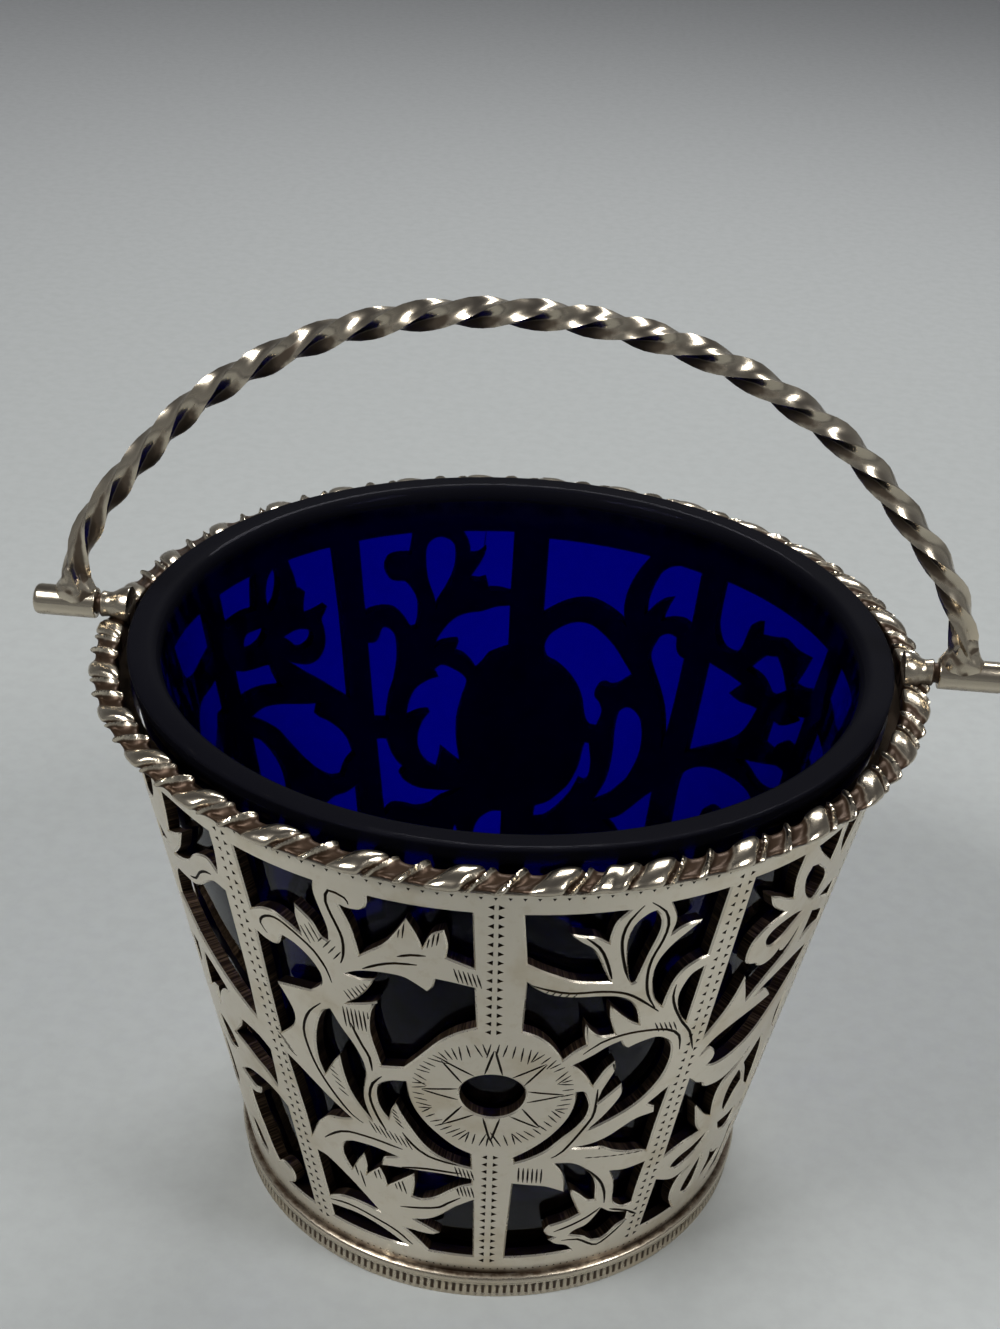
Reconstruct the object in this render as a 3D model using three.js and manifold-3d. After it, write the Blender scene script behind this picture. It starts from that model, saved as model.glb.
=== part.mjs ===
import * as THREE from 'three';
import { mergeVertices } from 'three/addons/utils/BufferGeometryUtils.js';
import Module from 'manifold-3d';

// Sugar basket: a pierced silver pail with a gadrooned rim, a loose cobalt glass liner
// and a twisted swing handle. Millimetres, +Z up. The origin is the centre of the foot,
// on the surface that the basket stands on. The handle turns about X, the front is -Y.

// Foot
const milledBandOverhang = 0.4;
const milledBandWidth = 3.2;
const milledBandHeight = 1.8;
const beadHeight = 1.0;
const beadProud = 0.7;
const basePlateThickness = 0.8;

// Wall of pierced sheet
const wallFootRadius = 26.2;
const wallTopRadius = 37.3;
const wallTopHeight = 57.5;
const sheetThickness = 1.2;

// Rim
const rimOverhang = 2.7;
const rimInset = 0.2;
const rimHeight = 2.8;
const rimCrestAboveWall = 2.3;
const rimLip = 0.25;
const rimShoulder = 0.4;
const rimShoulderDrop = 0.5;
const rimEdgeDrop = 1.0;
const rimTuck = 0.8;
const rimTuckDrop = 1.55;
const gadroonCount = 30;
const gadroonDepth = 0.75;
const gadroonSlant = 1.25;
const gadroonStart = -8;

// Glass liner
const linerProud = 3.1;
const linerWall = 2.9;
const linerFloor = 4;
const linerEdge = 0.6;

// Handle
const pivotAboveWall = 2.5;
const pinRadius = 0.95;
const pinShow = 0.4;
const collarRadius = 1.5;
const collarThickness = 0.4;
const neckRadius = 0.95;
const neckSpread = 0.4;
const neckRoot = 0.5;
const collarStandIn = 0.3;
const sleeveRadius = 1.5;
const sleeveLength = 6.1;
const sleeveEndWall = 0.7;
const sleeveEdge = 0.4;
const bailRise = 32.4;
const bailDiagonal = 2.9;
const bailTurns = 5.76;
const bailTurnStart = 41;
const footStandIn = 0.95;
const footRadius = 1.6;
const footRise = 3;

// How far the cutting blocks run past the sheet, in and out
const cutReach = 5;

// Clearances
const seatGap = 0.3;
const linerGap = 0.35;
const pinGap = 0.1;
const footGap = 0.3;

// Facets
const roundSides = 40;
const smallSides = 12;
const edgeTolerance = 0.12;
const bailSteps = 96;

const degree = Math.PI / 180;

// Faces closer than this to one plane count as flat, edges closer than this to one line as straight
const flatCosine = 0.999;
const straightCosine = 0.99999;

// Materials
const silver = (roughness) => new THREE.MeshStandardMaterial({ color: 0xc9c2b6, roughness, metalness: 1 });
const polished = silver(0.22);
const worn = silver(0.34);
const cast = silver(0.3);
const cobalt = new THREE.MeshStandardMaterial({
  color: 0x05074a, roughness: 0.06, metalness: 0, transparent: true, opacity: 0.8,
});

const wasm = await Module();
wasm.setup();

// Signed volume of a closed triangle mesh, negative when its faces point in
function signedVolume(positions, index) {
  let sum = 0;
  const [a, b, c] = [new THREE.Vector3(), new THREE.Vector3(), new THREE.Vector3()];
  for (let i = 0; i < index.length; i += 3) {
    a.fromArray(positions, 3 * index[i]);
    b.fromArray(positions, 3 * index[i + 1]);
    c.fromArray(positions, 3 * index[i + 2]);
    sum += a.dot(b.cross(c));
  }
  return sum / 6;
}

// A closed geometry with shared vertices, faces out
function closed(geometry) {
  const bare = geometry.clone();
  bare.deleteAttribute('normal');
  bare.deleteAttribute('uv');
  const merged = mergeVertices(bare, 1e-4);
  const kept = [];
  const index = merged.index.array;
  for (let i = 0; i < index.length; i += 3) {
    const [a, b, c] = [index[i], index[i + 1], index[i + 2]];
    if (a !== b && b !== c && c !== a) kept.push(a, b, c);
  }
  if (signedVolume(merged.attributes.position.array, kept) < 0) kept.reverse();
  merged.setIndex(kept);
  return merged;
}

function toSolid(geometry) {
  const shape = closed(geometry);
  return new wasm.Manifold(new wasm.Mesh({
    numProp: 3,
    vertProperties: new Float32Array(shape.attributes.position.array),
    triVerts: new Uint32Array(shape.index.array),
  }));
}

function toGeometry(solid) {
  const mesh = solid.getMesh();
  const geometry = new THREE.BufferGeometry();
  geometry.setAttribute('position', new THREE.BufferAttribute(new Float32Array(mesh.vertProperties), 3));
  geometry.setIndex(new THREE.BufferAttribute(new Uint32Array(mesh.triVerts), 1));
  return geometry;
}

// Takes out the points that cutting leaves on a straight edge between two flat faces
function withoutStrayPoints(geometry) {
  const places = [];
  for (let i = 0; i < geometry.attributes.position.count; i += 1) {
    places.push(new THREE.Vector3().fromBufferAttribute(geometry.attributes.position, i));
  }
  const around = places.map(() => new Set());
  for (let i = 0; i < geometry.index.count; i += 3) {
    const face = [0, 1, 2].map((corner) => geometry.index.getX(i + corner));
    for (const point of face) around[point].add(face);
  }
  const facing = (face) => {
    const [a, b, c] = face.map((point) => places[point]);
    return b.clone().sub(a).cross(c.clone().sub(a)).normalize();
  };
  const goneTo = (face, point, target) => face.map((corner) => (corner === point ? target : corner));
  places.forEach((place, point) => {
    const sides = new Map();
    for (const face of around[point]) {
      for (const end of face) {
        if (end !== point) sides.set(end, [...(sides.get(end) ?? []), facing(face)]);
      }
    }
    const edges = [...sides].filter(([, [one, other]]) => one.dot(other) < flatCosine).map(([end]) => end);
    if (edges.length !== 2) return;
    const [before, ahead] = edges.map((end) => places[end].clone().sub(place).normalize());
    if (before.dot(ahead) > -straightCosine) return;
    const target = edges.find((end) => [...around[point]]
      .filter((face) => !face.includes(end))
      .every((face) => facing(face).dot(facing(goneTo(face, point, end))) > flatCosine));
    if (target === undefined) return;
    for (const face of [...around[point]]) {
      for (const corner of face) around[corner].delete(face);
      if (face.includes(target)) continue;
      const moved = goneTo(face, point, target);
      for (const corner of moved) around[corner].add(moved);
    }
  });
  const faces = [...new Set(around.flatMap((fan) => [...fan]))];
  const cleaned = new THREE.BufferGeometry();
  cleaned.setAttribute('position', geometry.attributes.position);
  cleaned.setIndex(faces.flat());
  return closed(cleaned);
}

// A ring or bowl turned about Z, from [radius, height] points that close on themselves or on the axis
function turned(profile, sides = roundSides) {
  const points = profile.map(([radius, height]) => new THREE.Vector2(radius, height));
  if (profile[0][0] > 0) points.push(points[0].clone());
  return closed(new THREE.LatheGeometry(points, sides).rotateX(Math.PI / 2));
}

// The same about X, from [x, radius] points
function turnedAboutX(profile, sides = smallSides) {
  return turned(profile.map(([along, radius]) => [radius, along]), sides).rotateY(Math.PI / 2);
}

// Rows of points joined into a closed skin; rows close round, ends are capped unless the rows form a ring
function skin(rows, ring) {
  const count = rows[0].length;
  const index = [];
  const last = ring ? rows.length : rows.length - 1;
  for (let i = 0; i < last; i += 1) {
    const next = (i + 1) % rows.length;
    for (let j = 0; j < count; j += 1) {
      const k = (j + 1) % count;
      index.push(i * count + j, next * count + j, next * count + k);
      index.push(i * count + j, next * count + k, i * count + k);
    }
  }
  if (!ring) {
    const end = (rows.length - 1) * count;
    for (let j = 1; j < count - 1; j += 1) {
      index.push(0, j, j + 1);
      index.push(end, end + j + 1, end + j);
    }
  }
  const geometry = new THREE.BufferGeometry();
  const positions = rows.flat().flatMap((point) => point.toArray());
  geometry.setAttribute('position', new THREE.Float32BufferAttribute(positions, 3));
  geometry.setIndex(index);
  return closed(geometry);
}

// Derived places
const footBottomRadius = wallFootRadius + milledBandOverhang;
const footInnerRadius = footBottomRadius - milledBandWidth;
const rimRadius = wallTopRadius + rimOverhang;
const rimInnerRadius = wallTopRadius - rimInset;
const footHeight = milledBandHeight + beadHeight;
const wallSlope = (wallTopRadius - wallFootRadius) / (wallTopHeight - footHeight);
const wallRadius = (height) => wallFootRadius + wallSlope * (height - footHeight);
const beadInnerRadius = wallFootRadius - sheetThickness;
const baseTop = milledBandHeight + basePlateThickness;
const rimCrest = wallTopHeight + rimCrestAboveWall;
const linerTop = wallTopHeight + linerProud;
const linerBottom = baseTop + seatGap;
const linerRadius = (height) => wallRadius(height) - sheetThickness - linerGap;
const pivotHeight = wallTopHeight + pivotAboveWall;
const collarStart = rimRadius - collarStandIn;
const collarEnd = collarStart + collarThickness;
const sleeveStart = collarEnd + pinShow;
const sleeveEnd = sleeveStart + sleeveLength;

// A point of the wall's cone, turned by an angle from the front towards +X
function onWall(angle, height, radius) {
  return new THREE.Vector3(radius * Math.sin(angle * degree), -radius * Math.cos(angle * degree), height);
}

// The windows sawn in the wall, panel by panel between its upright straps, as outlines of
// [angle, height] or, at a sharp corner, [angle, height, 1].
const flamePanel = [
  [[-34.4, 54.3, 1], [-21.1, 54.3, 1], [-21.3, 53], [-20.7, 51.2], [-19.9, 49.1], [-20, 47.4, 1],
    [-21.1, 47.8], [-22.1, 49.1], [-23.4, 49.9], [-24.8, 50.6, 1], [-25, 49.1], [-24.4, 47, 1],
    [-26.5, 47.8], [-28.8, 48.4], [-31, 48.2], [-32.7, 47.6], [-33.6, 47.2, 1]],
  [[-13.2, 54.3, 1], [0.8, 54.3, 1], [1, 50.9], [1.2, 47.6, 1], [-1.1, 48.2], [-2.6, 48.6, 1],
    [-2.4, 50.2], [-2.9, 51.9, 1], [-4.6, 51.2], [-5.9, 49.4, 1], [-6.7, 50.9], [-8, 52.6, 1], [-9.3, 51],
    [-11.2, 49.1], [-13.4, 47.8], [-15.2, 46.8, 1], [-15.6, 48.4], [-16.2, 50.3], [-17.5, 52.4, 1],
    [-16, 52.2], [-14.1, 52.5], [-13.3, 53.4]],
  [[-33.5, 44.6, 1], [-31.4, 44.1], [-29.4, 44.2], [-28.2, 45.7, 1], [-26.1, 45.4], [-23.9, 44.4],
    [-22.4, 43], [-22.2, 41.7], [-23, 40.8], [-24.6, 39.9, 1], [-28.1, 39.4], [-31.4, 38.8, 1],
    [-30.2, 37.6], [-29.1, 35.9], [-29.3, 34.4], [-30.7, 33], [-33.3, 31.4, 1], [-33.5, 38]],
  [[-33.1, 28.8, 1], [-30.7, 28], [-27.5, 26.6], [-24.8, 25.3], [-20.6, 23.4, 1], [-22.9, 22.8],
    [-25.5, 22.3], [-27.5, 21.2], [-29.1, 20], [-31.2, 17.5, 1], [-31.5, 20.5], [-32.2, 24]],
  [[-21.5, 38.3, 1], [-20, 36.4], [-18.2, 34.6], [-16.9, 32.6], [-16.6, 30.9], [-17.2, 29.1],
    [-17.6, 27.3], [-17.2, 25.7], [-16.4, 24.1, 1], [-18.6, 25.9], [-20, 27.6], [-20.8, 29.8],
    [-21.1, 32.2, 1], [-22.6, 30.9], [-24.8, 28.5, 1], [-25.5, 30.1], [-25.6, 31.9], [-25.1, 34.1],
    [-24.1, 36.1], [-22.9, 37.6]],
  [[-17.7, 43.9, 1], [-15.4, 44.7], [-12.4, 45.2], [-9.2, 45.3], [-7.4, 44.8], [-5.4, 43.9, 1],
    [-4.6, 44.6], [-4.2, 45.7, 1], [-1.7, 45.5], [1.3, 45.1, 1], [1.5, 42.6], [1.7, 40, 1], [-1.1, 39.1],
    [-3.8, 37.7], [-5.9, 36.1], [-7.8, 34.6], [-9.7, 33.2, 1], [-13.6, 32.6, 1], [-14.1, 34.1],
    [-14.7, 35.9], [-14.9, 37.6], [-14.3, 39.8], [-12.9, 41.5, 1], [-14.4, 40.9], [-18.4, 39.9, 1],
    [-16.4, 41], [-14.5, 42.6], [-13.2, 44.2, 1], [-15.4, 43.8]],
  [[-9.6, 31.2, 1], [-9.3, 29.4], [-8.4, 27.6], [-6.6, 25.8], [-4, 24.1], [-1.4, 22.8], [1.2, 22, 1],
    [1.4, 19.9, 1], [-1.4, 20.3], [-4.6, 21.2], [-7.2, 22.6], [-9.3, 24.6], [-10.7, 26.2],
    [-11.7, 27.7, 1], [-12.6, 26.6], [-13.2, 25.2, 1], [-14.2, 26], [-14.9, 27.3], [-14.9, 28.9],
    [-14.1, 29.9], [-12.1, 30.8]],
  [[-22.4, 15.3, 1], [-20.9, 16.9], [-19.2, 18.6, 1], [-18.8, 16.9], [-19.2, 15.3, 1], [-17.7, 16.2],
    [-16.2, 17.1, 1], [-15.4, 16], [-14.9, 14.6, 1], [-12.4, 15.9], [-9.2, 17.6, 1], [-9.3, 15.9],
    [-9.8, 14, 1], [-7.9, 13.9], [-5.3, 14.6], [-2.7, 15.9], [-0.4, 16.9], [1.6, 17.4, 1], [1.6, 18.1, 1],
    [-3.3, 18.4], [-7.9, 18.3], [-12.5, 18], [-15.7, 17.6, 1], [-15.4, 18.4], [-14.7, 19.1],
    [-12.1, 19.7, 1], [-15.7, 20.1], [-18.6, 20.1], [-21.3, 19.8], [-23.1, 19], [-23.8, 17.8],
    [-23.5, 16.6]],
  [[-30.7, 15.6, 1], [-28.1, 15.5], [-25.5, 14.6], [-22.9, 13.4], [-20.3, 11.9], [-17.3, 10, 1],
    [-20.3, 10.3], [-23.5, 10.3], [-26.1, 10], [-28.1, 9.4], [-29.9, 8.7, 1], [-30.3, 12]],
  [[2, 14.8, 1], [-1.4, 13.4], [-4.6, 11.6], [-7.2, 10.7], [-9.8, 10.3, 1], [-6.6, 9.4], [-4.6, 8.8, 1],
    [-6.6, 8.3], [-12.1, 8.5, 1], [-9.8, 7.3], [-7.1, 5.6, 1], [2.2, 5.6, 1]],
  [[-29.9, 7.4, 1], [-26.8, 7.8], [-22.9, 8.1], [-19, 7.7], [-15.7, 6.9], [-13.1, 6], [-12, 5.6, 1],
    [-29.7, 5.6, 1]],
];
const ribbonPanel = [
  [[7.5, 54.3, 1], [21.3, 54.2, 1], [19.8, 53], [19.3, 51.6], [19.2, 50.5, 1], [17.5, 51.3], [15.6, 51.6],
    [13.6, 52, 1], [15.1, 50.9], [17, 49.9], [18.3, 48.4], [19.4, 46.8], [20.4, 45.5, 1], [15.6, 46],
    [12.5, 46.9], [10.4, 47.6], [8.4, 48.4, 1]],
  [[25, 53.6, 1], [24.1, 53.4], [22.8, 52.6], [22.1, 51.4], [22, 49.8], [22.5, 47.6], [23.1, 45.9],
    [23.7, 44.9], [24.3, 45, 1], [24.7, 46.2], [25.4, 48.4], [26.2, 50.5], [26.3, 51.9], [25.7, 53]],
  [[27.2, 54.3, 1], [36, 54.2, 1], [35.8, 50.1], [35.6, 46.1, 1], [33.8, 45.9], [31.9, 45.2], [30.7, 44],
    [30.1, 42.3], [29.8, 40.8, 1], [28.4, 41.9], [27.4, 43.7], [27, 45.7], [27.4, 47.3], [28.8, 48.8],
    [30.4, 49.8], [32.8, 51.1, 1], [30.9, 51.2], [29.4, 50.9], [28.2, 50.3, 1], [28.6, 51.6],
    [28.4, 52.6], [27.8, 53.5]],
  [[35.6, 44.7, 1], [33.8, 44.2], [32.9, 43.2], [32.4, 41.9], [32.7, 40.5], [33.5, 39.2], [34.4, 38.2],
    [35.3, 37.5, 1]],
  [[8.6, 46.1, 1], [9.7, 45.3], [12, 44.4], [15.3, 43.9], [19.2, 43.7], [22.1, 43.3], [24.2, 42.4],
    [25.7, 40.9], [26.5, 39.1, 1], [24.9, 39.8], [23.1, 40.9], [21.2, 42.3, 1], [21.5, 40.7],
    [22.8, 38.3, 1], [20.5, 38.4], [19, 39.2], [17.9, 40.2, 1], [18, 38.9], [18.5, 37.4, 1], [16.9, 36.7],
    [15.2, 35.6, 1], [14.3, 36.6], [12.7, 38], [10.7, 39.1], [8.6, 39.7, 1]],
  [[16.9, 34.7, 1], [19.5, 35.6], [22.1, 36.7], [24.1, 37.2, 1], [24.7, 36.4], [25.5, 36, 1],
    [27.3, 36.4], [29.9, 36.6], [31.9, 36], [33.5, 34.8], [34.1, 33], [33.7, 30.9], [32.2, 29.1],
    [29.9, 27.6], [26.7, 26.4], [21.6, 25, 1], [23.9, 26.6], [25.6, 28.2], [26.5, 29.6], [26, 31, 1],
    [24.6, 30.1], [22.3, 28.7, 1], [22.8, 30.5], [23.6, 31.9], [24.3, 33.2], [23.9, 34.5, 1],
    [22.4, 33.4], [20.9, 31.4, 1], [19.8, 32.6], [18.3, 33.9]],
  [[18.3, 30.8, 1], [18.5, 29.4], [17.9, 27.6], [16.6, 26], [14.6, 24.4], [11.7, 22.8], [8.8, 21.6, 1],
    [9.2, 20.9, 1], [12, 21.6], [14.6, 22.6], [16.9, 24.1], [19.2, 25.5], [20.6, 26.9], [20.9, 28.4],
    [20.2, 29.8], [19.4, 30.7]],
  [[35.8, 28.5, 1], [32.1, 26.8, 1], [33.2, 26.3], [33.9, 26], [34.2, 25.1, 1], [30.6, 25], [28.1, 24.2],
    [25.7, 23.3], [22.8, 22.7], [19.3, 22.5, 1], [22.8, 22.1], [25, 21.9], [27.3, 21], [30.6, 20.1],
    [33.2, 19.7], [35.1, 19.1, 1], [35.3, 23.7]],
  [[16.4, 20.4, 1], [19.5, 20.1], [22, 19.1], [24.1, 17.6], [25.4, 15.9], [26.1, 13.4, 1], [24.4, 13.7],
    [22.6, 14.8], [20.5, 15.9, 1], [21.1, 14.4], [23.3, 11.6, 1], [20.8, 10.9], [17.4, 10.4, 1],
    [16.6, 9.7], [17, 8.9], [18.9, 8.3, 1], [17.7, 7.9, 1], [19.2, 7.1], [21.5, 6.6], [23.2, 5.6, 1],
    [8.9, 5.6, 1], [9, 11.6], [9.2, 17.6, 1], [12, 17.3], [15.1, 16.9], [17.5, 16.2], [19.3, 15.6, 1],
    [19, 17.3], [18.1, 18.9]],
  [[28, 17.6, 1], [30.6, 17.2], [33.5, 17.2], [35.7, 17.3, 1], [35.3, 14.1], [35.3, 10.9, 1],
    [33.2, 10.9], [31.2, 11.7], [30.3, 12.6], [29.9, 14.1], [29.3, 15.9]],
  [[28, 11.6, 1], [29.9, 10.7], [32.5, 10], [34.9, 9.4, 1], [35, 8.2, 1], [32.9, 7.8], [31.2, 6.8],
    [29.6, 6.3, 1], [27.3, 6.6], [25.4, 7.5], [22.2, 8.3, 1], [23.1, 8.9], [25.4, 9.4], [27, 10.5]],
];
const bowPanel = [
  [[40.2, 54.3, 1], [50.2, 54, 1], [50.1, 51.2], [51.3, 48.4, 1], [49.1, 49.1], [47.2, 49.9],
    [45.1, 50.6, 1], [46.2, 49.2], [47.7, 48.2], [50.3, 47, 1], [47.5, 46.6], [45.4, 45.8], [44.2, 44.6],
    [44.3, 42.8], [45.5, 42], [47, 41.6], [48.2, 40.9], [49.9, 40.7], [51.7, 41], [53, 41.8, 1],
    [53.8, 40.9], [55.7, 41.6], [57.9, 43.6, 1], [57.5, 41.8], [55.5, 40.1], [51.7, 38.5],
    [48.2, 36.5, 1], [47.3, 38], [45.7, 40.4, 1], [44.9, 38.5], [43.3, 36.4], [40.2, 33.9, 1]],
  [[47.8, 44.4], [48.5, 45.2], [50.8, 45.6], [53.7, 45.6], [56.2, 45.1, 1], [53.7, 44.2], [52.1, 43.5],
    [50.1, 43.1], [48.7, 43.4]],
  [[53.4, 51.4, 1], [52.9, 50.3], [54, 48.5], [55.7, 47.1], [57.3, 46.2], [58.5, 45.9], [59.6, 46.5, 1],
    [60.3, 47.7], [58.9, 49.1], [57, 50.1], [55.3, 51]],
  [[53.2, 54, 1], [59.6, 54, 1], [60.2, 51.9], [59.9, 49.9, 1], [57.6, 51.2], [55.3, 52.5]],
  [[61, 54, 1], [67.5, 54, 1], [65.4, 51.6], [64.1, 49, 1], [62.5, 50.6], [61.4, 52]],
  [[60.7, 45, 1], [64.8, 45.2], [67.7, 44.8, 1], [67.7, 42.8, 1], [64.8, 43.8], [62.5, 44.5]],
  [[60.6, 43.4, 1], [62.8, 42.6], [65.4, 41.8], [67.7, 40.8, 1], [67.7, 39.6, 1], [62.8, 40.5],
    [59.8, 40, 1], [60.4, 41.6]],
  [[50.4, 36.3, 1], [53, 37.1], [56.3, 37.6], [60.2, 37.9], [64.1, 37.6], [66.6, 36.9, 1], [64.1, 35.1],
    [61.2, 33.2], [58.6, 31.6], [55.7, 30.1], [52.4, 29.1], [48.5, 28.6], [45.5, 28.7], [43.6, 29.2, 1],
    [44.6, 29.8], [44.6, 30.7], [43.6, 31.5], [42.3, 32], [40.8, 31.4, 1], [42.9, 32.8], [45.9, 33.6],
    [49.8, 34.1], [56.2, 34.4, 1], [54.7, 35.5], [52.7, 36.4]],
  [[40.2, 28.2, 1], [42, 27.1], [44, 26.4], [44.9, 25.6], [47.5, 25.1], [50.4, 25.1], [53.4, 25.8],
    [56.4, 27.2, 1], [54, 25.5], [51, 24.4], [50.1, 22.8], [50.4, 21], [51.3, 19.1, 1], [49, 20.1],
    [46.8, 21.6], [44.3, 23.3, 1], [45.5, 21.4], [47, 19.2], [49, 17.6, 1], [45.2, 17.6], [42.3, 17.2],
    [40.3, 16.7, 1]],
  [[55.9, 24.1, 1], [57.9, 22.8], [59.4, 21.2, 1], [57.9, 20.1], [57, 18.7], [56.6, 17.9, 1], [55, 19.1],
    [54.2, 20.9], [54.5, 22.6]],
  [[60.5, 27.3, 1], [62.8, 24.8], [64.1, 21.9], [65.1, 18.4, 1], [62.2, 19.8], [60.4, 21.4], [58.6, 23.4],
    [57, 24.8, 1], [58.8, 26]],
  [[65.1, 31.8, 1], [63.8, 29.8], [64.3, 28], [65.8, 26.4], [67.5, 25.6, 1], [66.6, 27.3], [65.8, 29.4]],
  [[43.4, 14.2], [44.9, 15.1], [47.8, 15.5], [50.4, 16.1], [52.5, 16.6, 1], [51.7, 15.5], [49.8, 14.4],
    [47.2, 13.7], [44.9, 13.5]],
  [[55.7, 16.5, 1], [58.9, 16.3], [61.5, 16.4], [62.5, 15.7], [61.8, 14.4], [59.6, 14.1], [57.3, 15]],
  [[53.6, 12.5, 1], [52.1, 10.9], [50.8, 9.1], [50.6, 7.8], [52.4, 7.1], [53.8, 7.6], [54.3, 9.1],
    [54.2, 10.9]],
  [[57.7, 11.6, 1], [59.6, 10.3], [61.9, 10], [63.2, 9.2], [61.5, 8.2], [58.9, 7.3], [57.1, 7.1, 1],
    [57.9, 8.4], [58.4, 10]],
  [[40.3, 13, 1], [42.3, 12.3], [45.2, 11.6], [48.5, 11.8], [49.9, 12, 1], [47.8, 11.2], [46.7, 9.8],
    [46.8, 8.2], [47.8, 6.9], [49.4, 5.6, 1], [40, 5.6, 1]],
  [[64.6, 12.4, 1], [67.7, 13.2, 1], [67.7, 5.6, 1], [61, 5.6, 1], [64, 7.4], [65.2, 9.8]],
  [[66.6, 23.2, 1], [67.7, 23.6, 1], [67.7, 15, 1], [65.2, 14.4, 1], [66.8, 18]],
  [[65.4, 34.4, 1], [67.7, 36, 1], [67.7, 31.8, 1]],
];
const leafPanel = [
  [[-39.3, 54.2, 1], [-44.3, 54.3], [-49, 54.2], [-52.5, 53.8, 1], [-53.5, 50.8], [-54.9, 48.3, 1],
    [-52.2, 49.1], [-48.6, 50.5, 1], [-49.9, 49.1], [-51.5, 47.6], [-55.1, 45.5, 1], [-52.2, 46.2],
    [-48.9, 47.3], [-46.3, 48.9], [-44, 49.8], [-41.7, 50.2], [-39.8, 49.3, 1], [-39.2, 52]],
  [[-38.9, 47.4, 1], [-41.4, 47.5], [-43.7, 46.6], [-46, 45.4], [-48.3, 44.5], [-51.5, 44.1],
    [-55.4, 43.6, 1], [-57.9, 42.3], [-59.3, 40.5], [-60.1, 38.7, 1], [-57.4, 38], [-53.5, 36.2],
    [-48.9, 34.6], [-44.3, 33], [-39.2, 31.3, 1], [-38.7, 38]],
  [[-37.6, 27.6, 1], [-39.8, 28.4], [-42.4, 28.7], [-45.2, 28.6, 1], [-46.3, 27.3], [-48.3, 26],
    [-49.9, 25, 1], [-46.3, 24.7], [-43, 23.9], [-40.4, 23.3], [-38.2, 22.1, 1], [-37.8, 24]],
  [[-55.2, 33.6, 1], [-51.5, 33.1], [-47.3, 31.5, 1], [-49.9, 30.7], [-52.2, 29.4], [-54.1, 27, 1],
    [-53.6, 28.7], [-53.1, 29.7, 1], [-55.4, 29.2], [-57.8, 28.1, 1], [-57.1, 30.5], [-56.2, 32.3]],
  [[-58, 33.4, 1], [-61, 33.2], [-64, 32], [-67.6, 29.5, 1], [-67.6, 26, 1], [-64, 28.5], [-61, 29.6],
    [-59, 31.2]],
  [[-58.2, 24.1], [-55.4, 24.6], [-52.5, 24.1], [-50.9, 22.6], [-52.2, 21.8], [-54.8, 21.4],
    [-57.1, 22.3]],
  [[-36.5, 19.9, 1], [-39.1, 20.9], [-42.4, 21.3], [-46.3, 21], [-48.9, 20.3], [-51.8, 19.1, 1],
    [-47.6, 18.5], [-44.9, 19.2, 1], [-46.3, 17.8], [-48.9, 17.1], [-50.7, 16.9, 1], [-50.6, 15.1],
    [-50.1, 13.4], [-48.9, 11.2], [-47.6, 9.1], [-46.3, 7.8, 1], [-45, 8.5], [-43, 8.9], [-41.1, 8.5],
    [-40.6, 7.5], [-41.6, 6.4], [-43.4, 5.7, 1], [-35.3, 5.7, 1], [-35.7, 11.6]],
  [[-56.4, 46.2, 1], [-62, 46.6], [-67.6, 44.4, 1], [-67.6, 41.6, 1], [-64.5, 43.7], [-60, 45.3]],
  [[-67.5, 54.2, 1], [-55.5, 54.2, 1], [-57.5, 51.6], [-60.5, 50], [-64, 49.2], [-67.6, 48.6, 1]],
  [[-57, 9.4], [-55, 10.6], [-52.6, 9.4], [-51, 7.2], [-53.4, 6.9], [-56, 7.4]],
  [[-67.6, 23, 1], [-63.8, 21.6], [-60.5, 20.9, 1], [-58.4, 18.6], [-58.2, 15.4, 1], [-60.4, 13.2],
    [-64, 12.2], [-67.6, 12.6, 1]],
  [[-67.6, 10.2, 1], [-64.4, 10.2], [-61.4, 8.6], [-60.6, 5.6, 1], [-67.6, 5.6, 1]],
  [[-67.6, 39.4, 1], [-65.4, 40.6], [-62.8, 40.4, 1], [-63, 37.6], [-64.8, 35.6], [-67.6, 34.4, 1]],
];
const sidePanel = [
  [[72.5, 54.3, 1], [87.6, 54.3, 1], [86.8, 51.4], [84, 49.4], [79.4, 48.6], [72.5, 49.6, 1]],
  [[72.5, 47.2, 1], [77, 46.6], [82, 46.4], [85.6, 44.6], [87.2, 41.6, 1], [84.6, 39.4], [80.4, 38.6],
    [76.6, 40.4], [74.4, 42.4], [72.5, 42.6, 1]],
  [[72.5, 39.8, 1], [75.6, 37.6], [79.6, 36.2], [84.6, 36.8], [87.4, 38.6, 1], [88.2, 34.6], [86.8, 31],
    [83, 28.8], [77.4, 28.4], [72.5, 30.4, 1]],
  [[72.5, 27.6, 1], [77, 26.2], [82.6, 26.4], [86.6, 28, 1], [87.8, 25], [87, 21.6], [84.2, 18.8],
    [79.6, 17.2], [72.5, 18.4, 1]],
  [[72.5, 15.8, 1], [78, 14.8], [83.4, 15.8], [87.2, 18.4, 1], [88, 14.6], [86.8, 11], [83.4, 8.4],
    [79, 7.4], [72.5, 8.6, 1]],
];
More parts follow.
